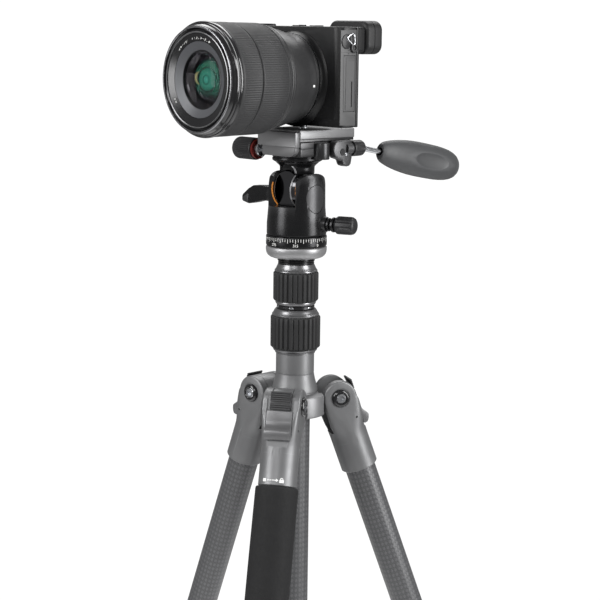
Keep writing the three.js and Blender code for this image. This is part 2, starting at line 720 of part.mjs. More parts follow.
// ---- head: base plate, pan ring and notched housing ----
const head = level(basePlateFoot);
piece("head_base_plate", turned([
  [0, 0],
  [BASE_PLATE_RADIUS - 5, 0],
  [BASE_PLATE_RADIUS - 2, 1],
  [BASE_PLATE_RADIUS - 0.5, 2.6],
  [BASE_PLATE_RADIUS, 4.6],
  [BASE_PLATE_RADIUS, BASE_PLATE_HEIGHT],
  [SPIGOT_RADIUS, BASE_PLATE_HEIGHT],
  [SPIGOT_RADIUS, housingFoot + PAN_KNOB_HEIGHT + 2.5 - basePlateFoot],
  [0, housingFoot + PAN_KNOB_HEIGHT + 2.5 - basePlateFoot],
]), greyMetal, head);

const panRing = level(panRingFoot);
piece("pan_ring", turned([
  [PAN_RING_RADIUS - 0.6, 0],
  [PAN_RING_RADIUS, 0.6],
  [PAN_RING_RADIUS, PAN_RING_HEIGHT - 0.6],
  [PAN_RING_RADIUS - 0.6, PAN_RING_HEIGHT],
  [SPIGOT_RADIUS + FIT, PAN_RING_HEIGHT],
  [SPIGOT_RADIUS + FIT, 0],
]), blackMetal, panRing);

// Everything above the pan ring: the origin is at the housing's foot, on the pan axis.
const panHead = level(housingFoot);

function ballShape(radius) {
  return solid(new THREE.SphereGeometry(radius, 16, 10));
}

// The wedge cut out of the housing's front, from a floor upwards.
function notch(halfAngle, floor) {
  const reach = 2 * housingRadius;
  const spread = (reach + NOTCH_APEX) * Math.tan(radians(halfAngle));
  const outline = outlineOf([[0, NOTCH_APEX], [-spread, -reach], [spread, -reach]]);
  return raised(outline, floor, housingHeight + 1);
}

function headHousing() {
  const shoulder = housingHeight - 8;
  const outer = turned([
    [0, 0],
    [housingRadius, 0],
    [housingRadius, 8],
    [housingRadius - 1, 20],
    [housingRadius - 1.2, shoulder],
    [housingRadius - 1.8, housingHeight - 3],
    [housingRadius - 3.2, housingHeight],
    [0, housingHeight],
  ], 24);
  const cavity = shifted(ballShape(BALL_RADIUS + BALL_ROOM), 0, 0, ballHeight);
  const mouth = turned([
    [0, ballHeight],
    [mouthRadius, ballHeight],
    [mouthRadius, housingHeight - 6],
    [mouthRadius + 2.8, housingHeight],
    [mouthRadius + 2.8, housingHeight + 1],
    [0, housingHeight + 1],
  ], 20);
  // seen from the side, the two ears end in round arches
  const archCentre = housingHeight - housingRadius;
  const arch = new THREE.Shape();
  arch.moveTo(-2 * housingRadius, -1);
  arch.lineTo(2 * housingRadius, -1);
  arch.lineTo(housingRadius, archCentre);
  arch.absarc(0, archCentre, housingRadius, 0, Math.PI);
  const archMatrix = new THREE.Matrix4().makeBasis(
    new THREE.Vector3(0, 1, 0),
    new THREE.Vector3(0, 0, 1),
    new THREE.Vector3(1, 0, 0),
  );
  const archSolid = moved(raised(arch, -2 * housingRadius, 2 * housingRadius), archMatrix);
  const spigotHole = rod(SPIGOT_RADIUS + FIT, -1, PAN_KNOB_HEIGHT + 3.2, 20);
  const wedge = notch(NOTCH_HALF_ANGLE, ballHeight - NOTCH_DROP);
  const seat = rod(seatRadius, ballHeight - SEAT_HALF - FIT, ballHeight + SEAT_HALF + FIT, 20);
  const panAxis = new THREE.Matrix4()
    .makeRotationZ(radians(PAN_KNOB_AZIMUTH))
    .multiply(alongMinusX.clone().invert())
    .setPosition(0, 0, PAN_KNOB_HEIGHT);
  const bossEnd = housingRadius + 2.6;
  const boss = moved(rod(5.4, SPIGOT_RADIUS + 4, bossEnd, 16), panAxis);
  const screwHole = moved(rod(PAN_SCREW_RADIUS + FIT, SPIGOT_RADIUS - 4, bossEnd + 2.6, 16), panAxis);
  const leverHole = moved(
    rod(LEVER_SHAFT_RADIUS + FIT, BALL_RADIUS - 2, housingRadius + 3.2, 16),
    alongMinusX,
  );
  return outer
    .add(boss)
    .intersect(archSolid)
    .subtract(cavity)
    .subtract(mouth)
    .subtract(spigotHole)
    .subtract(wedge)
    .subtract(seat)
    .subtract(screwHole)
    .subtract(shifted(leverHole, 0, 0, ballHeight - LEVER_DROP));
}
piece("head_housing", headHousing(), blackMetal, panHead);

// The friction band that the lever squeezes on the ball; it is open over the notch.
function ballSeatRing() {
  const band = rod(seatRadius - FIT, ballHeight - SEAT_HALF, ballHeight + SEAT_HALF, 20);
  const ballRoom = shifted(ballShape(BALL_RADIUS + BALL_ROOM), 0, 0, ballHeight);
  return band.subtract(ballRoom).subtract(notch(NOTCH_HALF_ANGLE + 4, 0));
}
piece("ball_seat_ring", ballSeatRing(), orangeRing, panHead);

const ballGroup = level(ballHeight, panHead);
const stemRoot = Math.sqrt(BALL_RADIUS ** 2 - STEM_RADIUS ** 2); // where the stem meets the ball
piece("ball", ballShape(BALL_RADIUS), ballMetal, ballGroup);

function ballStem() {
  const discFoot = stemHeight - DISC_HEIGHT;
  const body = turned([
    [0, stemRoot - 1],
    [STEM_RADIUS, stemRoot - 1],
    [STEM_RADIUS, discFoot - 4.6],
    [DISC_RADIUS - 2.8, discFoot - 1],
    [DISC_RADIUS - 1.2, discFoot],
    [DISC_RADIUS, discFoot + 0.8],
    [DISC_RADIUS, stemHeight],
    [0, stemHeight],
  ], 20);
  const panel = box(-STEM_RADIUS + 3, STEM_RADIUS - 3, -40, -STEM_RADIUS + 0.9, 12, discFoot - 4);
  const seat = solid(new THREE.SphereGeometry(BALL_RADIUS + FIT, 24, 14));
  return body.subtract(panel).subtract(seat);
}
piece("ball_stem", ballStem(), blackMetal, ballGroup);

// The ball lock is a bent wing lever on the -X side; the pan lock is a knob at the right rear.
function ballLockLever() {
  const inner = housingRadius - 1;
  const pin = rod(LEVER_SHAFT_RADIUS, BALL_RADIUS + 2.2, inner + FIT, 16);
  const shaft = pin.add(rod(6.2, inner + FIT, inner + 6, 16));
  const wing = standing(outlineOf([
    [-inner - 4, 5.2],
    [-inner - 22, 4.9],
    [-inner - 33, -2],
    [-inner - 34, -5.6],
    [-inner - 26, -8.4],
    [-inner - 21, -7.4],
    [-inner - 11, -4.6],
    [-inner - 4, -5.2],
  ]), -3.6, 3.6, 1.2);
  return moved(shaft, alongMinusX).add(wing);
}
piece("ball_lock_lever", ballLockLever(), blackMetal, level(ballHeight - LEVER_DROP, panHead));

function panLockKnob() {
  const flute = 6;
  const root = SPIGOT_RADIUS + 2 * FIT;
  const start = housingRadius + 3;
  const tip = housingRadius + PAN_KNOB_REACH;
  let knob = turned([
    [0, root],
    [PAN_SCREW_RADIUS, root],
    [PAN_SCREW_RADIUS, start],
    [4.6, start],
    [4.6, start + 1.6],
    [3.2, start + 2.2],
    [3.2, start + 3.2],
    [5.2, start + 3.6],
    [5.2, start + 5.2],
    [3.8, start + 5.8],
    [6.25, start + 7.6],
    [6.25, tip - 3],
    [4.4, tip],
    [0, tip],
  ], 12);
  for (let i = 0; i < flute; i += 1) {
    const angle = (i * 2 * Math.PI) / flute;
    const groove = rod(0.8, start + 8.7, tip + 1, 4);
    knob = knob.subtract(shifted(groove, 6.5 * Math.cos(angle), 6.5 * Math.sin(angle), 0));
  }
  return knob;
}
const panKnob = piece("pan_lock_knob", panLockKnob(), blackMetal, panHead);
panKnob.position.z = PAN_KNOB_HEIGHT;
panKnob.rotation.set(0, Math.PI / 2, radians(PAN_KNOB_AZIMUTH), "ZYX");

// ---- quick-release clamp, plate and tripod screw ----
const clamp = level(clampFoot);

function clampBody() {
  const back = CLAMP_BACK;
  const side = CLAMP_HALF_WIDTH;
  const base = raised(roundedRectangle(-JAW_LIP, side, CLAMP_FRONT, back, 4), 0, CLAMP_BASE_HEIGHT);
  const jaw = standing(outlineOf([
    [DOVETAIL_FOOT_HALF + FIT, CLAMP_BASE_HEIGHT - 0.5],
    [side, CLAMP_BASE_HEIGHT - 0.5],
    [side, jawHeight],
    [DOVETAIL_TOP_HALF + FIT, jawHeight],
    [DOVETAIL_FOOT_HALF + FIT, jawFoot],
  ]), CLAMP_FRONT + 5, back - 1);
  const wallTop = jawHeight + PLATE_NECK_HEIGHT + PLATE_THICKNESS - 1.4;
  const wallFront = CLAMP_FRONT + WALL_SETBACK;
  const wallBack = wallFront + STOP_WALL_THICKNESS;
  const wall = box(-side, side, wallFront, wallBack, CLAMP_BASE_HEIGHT + 0.9, wallTop);
  const wallFoot = box(-JAW_LIP + 0.5, side - 0.6, wallFront, wallBack, 1, wallTop - 1);
  const plateRoom = box(0, DOVETAIL_FOOT_HALF + FIT, -10, 20, CLAMP_BASE_HEIGHT, 20);
  const boss = shifted(rod(6, -2, jawHeight - 0.4), side, 4, 0).subtract(plateRoom);
  const discRoom = rod(DISC_RADIUS + 2 * FIT, -10, 0, 20);
  const screwBore = moved(rod(CLAMP_SCREW_RADIUS + FIT, -12, 30, 16), alongMinusX);
  const screwHole = shifted(screwBore, 0, CLAMP_SCREW_Y, screwLevel);
  const cheekSide = side + HANDLE_CHEEK_INNER - FIT;
  const cheekRoom = box(cheekSide, side + 20, HANDLE_PIVOT_Y - 10.4, back + 5, -5, 12);
  const colletSide = side + HANDLE_AXIS_OFFSET - COLLET_RADIUS - FIT;
  const colletRoom = box(colletSide, side + 20, HANDLE_PIVOT_Y + COLLET_FRONT - 2, back + 5, -5, 12);
  const bracketRoom = cheekRoom.add(colletRoom);
  const pinRod = moved(rod(HANDLE_PIN_RADIUS, -side - 5.4, -side + 4, 16), alongMinusX);
  const pin = shifted(pinRod, 0, HANDLE_PIVOT_Y, HANDLE_PIVOT_LEVEL);
  return base
    .add(jaw)
    .add(wall)
    .add(wallFoot)
    .add(boss)
    .subtract(discRoom)
    .subtract(screwHole)
    .subtract(bracketRoom)
    .add(pin);
}
piece("clamp_body", clampBody(), darkMetal, clamp);

function clampJaw() {
  const side = -CLAMP_HALF_WIDTH;
  const lip = -JAW_LIP - FIT;
  const jaw = standing(outlineOf([
    [side, 0.4],
    [lip, 0.4],
    [lip, jawFoot],
    [-DOVETAIL_FOOT_HALF - FIT, jawFoot],
    [-DOVETAIL_TOP_HALF - FIT, jawHeight],
    [side, jawHeight],
  ]), CLAMP_FRONT + WALL_SETBACK + STOP_WALL_THICKNESS + FIT, CLAMP_BACK);
  const hole = moved(rod(CLAMP_SCREW_RADIUS + FIT, 10, 24, 16), alongMinusX);
  return jaw.subtract(shifted(hole, 0, CLAMP_SCREW_Y, screwLevel));
}
piece("clamp_jaw", clampJaw(), darkMetal, clamp);

function clampKnob() {
  const start = CLAMP_HALF_WIDTH + 3 + 2 * FIT;
  const face = start + 5;
  return turned([
    [0, -9],
    [CLAMP_SCREW_RADIUS, -9],
    [CLAMP_SCREW_RADIUS, start],
    [5, start],
    [5, face],
    [CLAMP_KNOB_RADIUS - 0.8, face],
    [CLAMP_KNOB_RADIUS, face + 0.8],
    [CLAMP_KNOB_RADIUS, face + CLAMP_KNOB_LENGTH - 1.6],
    [CLAMP_KNOB_RADIUS - 1.2, face + CLAMP_KNOB_LENGTH],
    [0, face + CLAMP_KNOB_LENGTH],
  ]);
}
const knob = piece("clamp_knob", moved(clampKnob(), alongMinusX), blackPlastic, clamp);
knob.position.set(0, CLAMP_SCREW_Y, screwLevel);

// The quick plate has a dovetail foot; the stop wall keeps it from sliding forwards.
function quickPlate() {
  const foot = CLAMP_BASE_HEIGHT + 2 * FIT;
  const flange = jawHeight + PLATE_NECK_HEIGHT;
  const top = flange + PLATE_THICKNESS;
  const profile = standing(outlineOf([
    [-DOVETAIL_FOOT_HALF + 0.1, foot],
    [DOVETAIL_FOOT_HALF - 0.1, foot],
    [DOVETAIL_TOP_HALF - 0.1, jawHeight],
    [DOVETAIL_TOP_HALF - 0.1, flange],
    [CLAMP_HALF_WIDTH, flange],
    [CLAMP_HALF_WIDTH, top - 0.8],
    [CLAMP_HALF_WIDTH - 0.8, top],
    [-CLAMP_HALF_WIDTH + 0.8, top],
    [-CLAMP_HALF_WIDTH, top - 0.8],
    [-CLAMP_HALF_WIDTH, flange],
    [-DOVETAIL_TOP_HALF + 0.1, flange],
    [-DOVETAIL_TOP_HALF + 0.1, jawHeight],
  ]), plateFront, plateFront + PLATE_LENGTH);
  const hole = rod(SCREW_THREAD_RADIUS + FIT, 0, top + 1);
  const headRoom = rod(SCREW_HEAD_RADIUS + FIT, 0, top - SCREW_HEAD_ROOF);
  return profile.subtract(shifted(hole.add(headRoom), 0, TRIPOD_SCREW_Y, 0));
}
piece("quick_plate", quickPlate(), greyMetal, clamp);

function cameraScrew() {
  const headFoot = CLAMP_BASE_HEIGHT + 3 * FIT;
  const headTop = jawHeight + PLATE_NECK_HEIGHT + PLATE_THICKNESS - SCREW_HEAD_ROOF - FIT;
  const top = cameraFoot - clampFoot + 5;
  const screw = turned([
    [0, headFoot],
    [SCREW_HEAD_RADIUS, headFoot],
    [SCREW_HEAD_RADIUS, headTop],
    [SCREW_THREAD_RADIUS, headTop],
    [SCREW_THREAD_RADIUS, top],
    [0, top],
  ], 24);
  const slot = box(-0.8, 0.8, -8, 8, headFoot - 1, headFoot + 1.6);
  return shifted(screw.subtract(slot), 0, TRIPOD_SCREW_Y, 0);
}
piece("camera_screw", cameraScrew(), brightSteel, clamp);

// ---- pan handle: bracket, collet, rod and paddle grip ----
const handle = new THREE.Group();
handle.position.set(CLAMP_HALF_WIDTH, HANDLE_PIVOT_Y, HANDLE_PIVOT_LEVEL);
clamp.add(handle);

function handleBracket() {
  const plate = new THREE.Shape();
  plate.moveTo(-6.6, 4.6);
  plate.lineTo(-8.6, -1);
  plate.lineTo(-5.4, -6);
  plate.lineTo(-0.6, -7.4);
  plate.lineTo(1.4, -11.6);
  plate.lineTo(7.4, -11.8);
  plate.lineTo(9.4, -5.4);
  plate.lineTo(9.4, 5.2);
  plate.lineTo(6, 6);
  const cheek = moved(raised(plate, HANDLE_CHEEK_INNER, 5, 0.8), new THREE.Matrix4().makeBasis(
    new THREE.Vector3(0, 1, 0),
    new THREE.Vector3(0, 0, 1),
    new THREE.Vector3(1, 0, 0),
  ));
  const socketOutline = [[0, SOCKET_BACK], [SOCKET_RADIUS, SOCKET_BACK], [SOCKET_RADIUS, 4], [0, 4]];
  const socket = turnedAlongY(socketOutline, 20);
  const pinHole = moved(rod(HANDLE_PIN_RADIUS + FIT, -7, 4, 16), alongMinusX);
  const bore = turnedAlongY([[0, 20], [ROD_RADIUS + FIT, 20], [ROD_RADIUS + FIT, 8], [0, 8]], 16);
  return cheek
    .add(shifted(socket, HANDLE_AXIS_OFFSET, 0, 0))
    .subtract(pinHole)
    .subtract(shifted(bore, HANDLE_AXIS_OFFSET, 0, 0));
}
piece("handle_bracket", handleBracket(), darkMetal, handle);

const handleAxis = new THREE.Group();
handleAxis.position.x = HANDLE_AXIS_OFFSET;
handle.add(handleAxis);

function handleCollet() {
  const flutes = 6;
  const grooveAt = COLLET_RADIUS + 0.3;
  let nut = turnedAlongY([
    [SOCKET_RADIUS + FIT, COLLET_FRONT],
    [COLLET_RADIUS, COLLET_FRONT],
    [COLLET_RADIUS, COLLET_BACK - 1.4],
    [COLLET_RADIUS - 1.2, COLLET_BACK],
    [ROD_RADIUS + FIT, COLLET_BACK],
    [ROD_RADIUS + FIT, SOCKET_BACK + FIT],
    [SOCKET_RADIUS + FIT, SOCKET_BACK + FIT],
  ].reverse(), 20);
  for (let i = 0; i < flutes; i += 1) {
    const angle = (i * 2 * Math.PI) / flutes;
    const groove = turnedAlongY([[0, COLLET_BACK - 2], [0.7, COLLET_BACK - 2], [0.7, 11], [0, 11]], 4);
    nut = nut.subtract(shifted(groove, grooveAt * Math.cos(angle), 0, grooveAt * Math.sin(angle)));
  }
  return nut;
}
piece("handle_collet", handleCollet(), blackPlastic, handleAxis);

// The rod leaves the collet level, then drops to the grip's slope.
const rodDrop = Math.tan(radians(ROD_SLOPE));
const gripStart = new THREE.Vector3(0, COLLET_BACK + 18, -18 * rodDrop + 1);
const gripSlope = radians(HANDLE_SLOPE);
const gripDirection = new THREE.Vector3(0, Math.cos(gripSlope), -Math.sin(gripSlope));
function handleRod() {
  const inGrip = gripStart.clone().addScaledVector(gripDirection, 30);
  const path = new THREE.CatmullRomCurve3([
    new THREE.Vector3(0, 8 + FIT, 0),
    new THREE.Vector3(0, COLLET_BACK - 4, 0),
    new THREE.Vector3(0, COLLET_BACK + 2, -0.5),
    gripStart.clone(),
    inGrip,
  ], false, "centripetal");
  const section = new THREE.Shape();
  section.absarc(0, 0, ROD_RADIUS, 0, 2 * Math.PI);
  const geometry = new THREE.ExtrudeGeometry(section, {
    steps: 12,
    curveSegments: 4,
    bevelEnabled: false,
    extrudePath: path,
  });
  return solid(geometry);
}
piece("handle_rod", handleRod(), brightSteel, handleAxis);

function handleGrip() {
  const length = HANDLE_GRIP_LENGTH;
  const tall = HANDLE_GRIP_HEIGHT / 2;
  const flatten = HANDLE_GRIP_WIDTH / HANDLE_GRIP_HEIGHT;
  const paddle = turned([
    [0, 0],
    [tall * 0.42, 0],
    [tall * 0.6, 3],
    [tall * 0.82, 14],
    [tall * 0.97, 30],
    [tall, 45],
    [tall * 0.98, 62],
    [tall * 0.84, 74],
    [tall * 0.5, length - 2],
    [0, length],
  ]).scale([flatten, 1, 1]);
  const bore = rod(ROD_RADIUS + 2 * FIT, -1, 31, 16);
  const thumbRest = solid(new THREE.SphereGeometry(1, 12, 8).scale(3, 8.2, 21));
  const hollowed = paddle
    .subtract(bore)
    .subtract(shifted(thumbRest, flatten * tall + 1.2, 0, 50))
    .subtract(shifted(thumbRest, -flatten * tall - 1.2, 0, 50));
  return moved(hollowed, new THREE.Matrix4().makeRotationX(-Math.PI / 2 - radians(HANDLE_SLOPE)));
}
const grip = piece("handle_grip", handleGrip(), foam, handleAxis);
grip.position.copy(gripStart);

// ---- camera: the origin is at its base, on the column axis ----
const camera = level(cameraFoot);

function mountDisc(radius, y0, y1) {
  return shifted(turnedAlongY([[0, y1], [radius, y1], [radius, y0], [0, y0]], 24), 0, 0, LENS_HEIGHT);
}

const bodyOutline = roundedRectangle(BODY_LEFT, BODY_RIGHT, 0, BODY_HEIGHT, 5);

function cameraBody() {
  const shell = standing(bodyOutline, BODY_FRONT, BODY_SEAM + 1.2, 1.2)
    .subtract(box(-100, 100, BODY_SEAM, 100, -10, 100));
  const gripShape = roundedRectangle(
    BODY_LEFT,
    BODY_LEFT + GRIP_WIDTH,
    BODY_FRONT - GRIP_REACH,
    BODY_FRONT + 5,
    7,
  );
  const grip = raised(gripShape, 1, handGripTop, 2);
  const mount = mountDisc(MOUNT_RADIUS, BODY_FRONT - MOUNT_REACH, BODY_FRONT + 2);
  const room = box(
    BODY_LEFT + BODY_WALL,
    BODY_RIGHT - BODY_WALL,
    BODY_FRONT + BODY_WALL,
    100,
    BODY_WALL + 4,
    BODY_HEIGHT - BODY_WALL - 4,
  );
  const gripRoom = box(
    BODY_LEFT + BODY_WALL + 3,
    BODY_LEFT + GRIP_WIDTH - 3,
    BODY_FRONT - GRIP_REACH + 4,
    BODY_FRONT + 4,
    BODY_WALL + 4,
    handGripTop - 8,
  );
  const throat = mountDisc(THROAT_RADIUS, BODY_FRONT - MOUNT_REACH - 1, BODY_FRONT + 5);
  const screwHole = shifted(rod(SCREW_THREAD_RADIUS + FIT, -1, 6.2, 24), 0, TRIPOD_SCREW_Y, 0);
  const doorRoom = box(
    BODY_RIGHT - DOOR_THICKNESS - FIT,
    BODY_RIGHT + 1,
    DOOR_FRONT - FIT,
    DOOR_BACK + FIT,
    DOOR_FOOT - FIT,
    DOOR_TOP + FIT,
  );
  const well = (radius, floor) => rod(radius + FIT, floor, BODY_HEIGHT + 5);
  const dialFloor = BODY_HEIGHT - DIAL_SINK;
  const buttonWell = shifted(well(BUTTON_RADIUS, handGripTop - BUTTON_WELL_DEPTH), BUTTON_X, buttonY, 0);
  const modeWell = shifted(well(MODE_DIAL_RADIUS, dialFloor), MODE_DIAL_X, DIAL_Y, 0);
  const controlWell = shifted(well(CONTROL_DIAL_RADIUS, dialFloor), CONTROL_DIAL_X, DIAL_Y, 0);
  return shell
    .add(grip)
    .add(mount)
    .subtract(room)
    .subtract(gripRoom)
    .subtract(throat)
    .subtract(screwHole)
    .subtract(doorRoom)
    .subtract(buttonWell)
    .subtract(modeWell)
    .subtract(controlWell);
}
piece("camera_body", cameraBody(), blackPlastic, camera);

// The rear shell carries the finder housing.
function cameraBack() {
  const shell = standing(bodyOutline, BODY_SEAM - 1, BODY_BACK, 1.2)
    .subtract(box(-100, 100, 0, BODY_SEAM + FIT, -10, 100));
  const finder = standing(
    roundedRectangle(FINDER_LEFT, BODY_RIGHT - 0.5, BODY_HEIGHT - FINDER_HEIGHT, BODY_HEIGHT, 2.5),
    BODY_SEAM + FIT,
    FINDER_BACK,
    0.8,
  );
  const eyepiece = box(eyepieceX - 12, eyepieceX + 12, FINDER_BACK - 3, 100, eyepieceZ - 7, eyepieceZ + 4);
  return shell.add(finder).subtract(eyepiece);
}
piece("camera_back", cameraBack(), blackPlastic, camera);

piece("sensor_board", box(
  -SENSOR_HALF_WIDTH,
  SENSOR_HALF_WIDTH,
  SENSOR_FRONT,
  SENSOR_FRONT + SENSOR_THICKNESS,
  LENS_HEIGHT - SENSOR_HALF_HEIGHT,
  LENS_HEIGHT + SENSOR_HALF_HEIGHT,
), boardGreen, camera);
piece("battery", box(
  BODY_LEFT + BODY_WALL + 3 + FIT,
  BODY_LEFT + GRIP_WIDTH - 3 - FIT,
  BODY_FRONT - GRIP_REACH + 4 + FIT,
  BODY_FRONT + 3,
  BODY_WALL + 4 + FIT,
  handGripTop - 12,
), cellPlastic, camera);

const screenLeft = SCREEN_X - SCREEN_WIDTH / 2;
piece("screen", standing(
  roundedRectangle(screenLeft, screenLeft + SCREEN_WIDTH, screenTop - SCREEN_HEIGHT, screenTop, 2.5),
  BODY_BACK + FIT,
  BODY_BACK + FIT + SCREEN_THICKNESS,
  0.6,
), screenGlass, camera);

function eyecup() {
  const left = eyepieceX - EYECUP_WIDTH / 2;
  const foot = eyepieceZ - EYECUP_HEIGHT / 2;
  const front = FINDER_BACK + FIT;
  const back = front + EYECUP_DEPTH;
  const outline = roundedRectangle(left, left + EYECUP_WIDTH, foot, foot + EYECUP_HEIGHT, 6);
  const outer = standing(outline, front, back, 2);
  const recess = standing(
    roundedRectangle(left + 5, left + EYECUP_WIDTH - 5, foot + 4.5, foot + EYECUP_HEIGHT - 4.5, 4),
    back - 3.4,
    back + 2,
  );
  return outer.subtract(recess);
}
piece("eyecup", eyecup(), rubber, camera);

piece("port_door", box(
  BODY_RIGHT - DOOR_THICKNESS,
  BODY_RIGHT,
  DOOR_FRONT,
  DOOR_BACK,
  DOOR_FOOT,
  DOOR_TOP,
), blackPlastic, camera);

const button = piece("shutter_button", turned([
  [0, 0],
  [BUTTON_RADIUS, 0],
  [BUTTON_RADIUS, 2.6],
  [BUTTON_RADIUS - 0.8, 3.4],
  [0, 3.8],
]), brightSteel, level(handGripTop - BUTTON_WELL_DEPTH + FIT + BUTTON_TRAVEL, camera));
button.position.set(BUTTON_X, buttonY, 0);

function dial(radius) {
  return turned([
    [0, FIT],
    [radius, FIT],
    [radius, DIAL_SINK + 0.6],
    [radius - 0.8, DIAL_SINK + 1.4],
    [0, DIAL_SINK + 1.4],
  ]);
}
const dials = level(BODY_HEIGHT - DIAL_SINK, camera);
const modeDial = piece("mode_dial", dial(MODE_DIAL_RADIUS), blackPlastic, dials);
modeDial.position.set(MODE_DIAL_X, DIAL_Y, 0);
const controlDial = piece("control_dial", dial(CONTROL_DIAL_RADIUS), blackPlastic, dials);
controlDial.position.set(CONTROL_DIAL_X, DIAL_Y, 0);

// ---- lens: turned about the optical axis, with y measured from the column axis ----
const lens = level(LENS_HEIGHT, camera);
const barrelBack = BODY_FRONT - MOUNT_REACH - FIT;
const zoomBack = BARREL_FRONT - FIT;
const zoomFront = zoomBack - ZOOM_RING_LENGTH;
const focusBack = zoomFront - FIT;
const focusFront = focusBack - FOCUS_RING_LENGTH;
const bezelBack = focusFront - FIT;
const bezelFront = bezelBack - BEZEL_LENGTH;

piece("lens_barrel", turnedAlongY([
  [MOUNT_RADIUS - 0.4, barrelBack],
  [MOUNT_RADIUS, barrelBack - 4],
  [MOUNT_RADIUS + 1, barrelBack - 10],
  [BARREL_RADIUS - 1.6, BARREL_FRONT + 6],
  [BARREL_RADIUS - 0.6, BARREL_FRONT + 3],
  [BARREL_RADIUS, BARREL_FRONT + 2.4],
  [BARREL_RADIUS, BARREL_FRONT],
  [LENS_CORE_RADIUS, BARREL_FRONT],
  [LENS_CORE_RADIUS, focusFront],
  [LENS_CORE_BORE, focusFront],
  [LENS_CORE_BORE, BARREL_FRONT],
  [20, BARREL_FRONT + 8],
  [20, barrelBack],
]), blackPlastic, lens);

piece("zoom_ring", turnedAlongY([
  [ZOOM_RING_RADIUS - 0.5, zoomBack],
  [ZOOM_RING_RADIUS, zoomBack - 0.6],
  [ZOOM_RING_RADIUS + 0.3, zoomFront + 0.6],
  [ZOOM_RING_RADIUS - 0.3, zoomFront],
  [LENS_CORE_RADIUS + FIT, zoomFront],
  [LENS_CORE_RADIUS + FIT, zoomBack],
]), rubber, lens);

piece("focus_ring", turnedAlongY([
  [FOCUS_RING_RADIUS - 0.8, focusBack],
  [FOCUS_RING_RADIUS - 0.3, focusBack - 0.6],
  [FOCUS_RING_RADIUS, focusFront + 0.6],
  [FOCUS_RING_RADIUS - 0.6, focusFront],
  [LENS_CORE_RADIUS + FIT, focusFront],
  [LENS_CORE_RADIUS + FIT, focusBack],
]), rubber, lens);

const slideRadius = LENS_CORE_BORE - FIT;
const slideBack = bezelBack + ZOOM_TRAVEL + 8;
piece("front_bezel", turnedAlongY([
  [slideRadius, slideBack],
  [slideRadius, bezelBack],
  [FOCUS_RING_RADIUS + 0.2, bezelBack],
  [FOCUS_RING_RADIUS + 0.3, bezelBack - 2.4],
  [BEZEL_RIM_RADIUS + 1.4, bezelBack - 4.6],
  [BEZEL_RIM_RADIUS + 0.8, bezelFront + 0.8],
  [BEZEL_RIM_RADIUS, bezelFront],
  [BEZEL_RIM_RADIUS - 2.4, bezelFront],
  [BEZEL_RIM_RADIUS - 3, bezelFront + 2.6],
  [GLASS_RADIUS + FIT, bezelFront + 4.4],
  [GLASS_RADIUS + FIT, bezelBack + 4 + FIT],
  [GLASS_RADIUS - 2, bezelBack + 4 + FIT],
  [GLASS_RADIUS - 2, bezelBack + 8],
  [slideRadius - 2, slideBack],
]), blackPlastic, lens);

piece("front_element", turnedAlongY([
  [0, bezelBack + 4],
  [GLASS_RADIUS, bezelBack + 4],
  [GLASS_RADIUS, bezelFront + 6],
  [GLASS_RADIUS * 0.9, bezelFront + 5],
  [GLASS_RADIUS * 0.7, bezelFront + 3.8],
  [GLASS_RADIUS * 0.4, bezelFront + 2.8],
  [0, bezelFront + 2.4],
]), lensGlass, lens);

// The ground point under the middle of the whole object's box is the origin.
tripod.updateMatrixWorld(true);
const extent = new THREE.Box3().setFromObject(tripod, true);
const middle = extent.getCenter(new THREE.Vector3());
stand.position.x = -middle.x;
stand.position.y = -middle.y;

export default tripod;
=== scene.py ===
# A mirrorless camera with a standard zoom, on a compact carbon travel tripod.
# Pieces are shaped in millimetres on their own axes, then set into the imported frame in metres.
import json
from math import atan2, cos, pi, radians, sin, sqrt, tan
import bpy
from mathutils import Matrix, Vector


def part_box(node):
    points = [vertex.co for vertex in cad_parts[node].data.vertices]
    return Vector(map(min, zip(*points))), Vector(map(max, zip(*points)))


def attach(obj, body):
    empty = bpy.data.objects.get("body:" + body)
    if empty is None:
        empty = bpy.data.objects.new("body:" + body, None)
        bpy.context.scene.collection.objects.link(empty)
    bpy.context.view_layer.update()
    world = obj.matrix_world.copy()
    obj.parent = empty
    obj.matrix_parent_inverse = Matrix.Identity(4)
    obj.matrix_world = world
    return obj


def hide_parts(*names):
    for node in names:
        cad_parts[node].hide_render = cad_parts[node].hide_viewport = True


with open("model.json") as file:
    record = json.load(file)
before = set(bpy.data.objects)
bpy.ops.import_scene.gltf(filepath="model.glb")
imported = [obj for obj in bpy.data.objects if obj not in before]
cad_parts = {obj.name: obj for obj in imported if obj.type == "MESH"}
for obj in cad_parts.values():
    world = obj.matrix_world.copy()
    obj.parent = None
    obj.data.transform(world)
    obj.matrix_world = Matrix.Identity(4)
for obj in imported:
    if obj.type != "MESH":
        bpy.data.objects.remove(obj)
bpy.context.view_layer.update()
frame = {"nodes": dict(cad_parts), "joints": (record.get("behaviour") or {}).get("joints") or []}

joints = {joint["name"]: joint for joint in frame["joints"]}

# ---- camera, light and floor ----
# The view is from the lens side, a little to its right and just above the finder, through
# a long lens. Tall soft boxes stand left and right, one hangs over the back and a weak one
# fills from the front. The paper floor fades out into the white room.
VIEW_BEARING = radians(46.5)
VIEW_DISTANCE = 1.160
VIEW_SIDE = 0.003
VIEW_HEIGHT = 0.7879
VIEW_PITCH = radians(9.446)
VIEW_ROLL = radians(0.7)
HEAD_HEIGHT = 0.62  # what the lamps look at
LENS_LENGTH = 101.0
column_low, column_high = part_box("column_tube")
column_axis = Vector(((column_low.x + column_high.x) / 2, (column_low.y + column_high.y) / 2, 0))
toward = Vector((sin(VIEW_BEARING), -cos(VIEW_BEARING), 0))
rightward = Vector((cos(VIEW_BEARING), sin(VIEW_BEARING), 0))

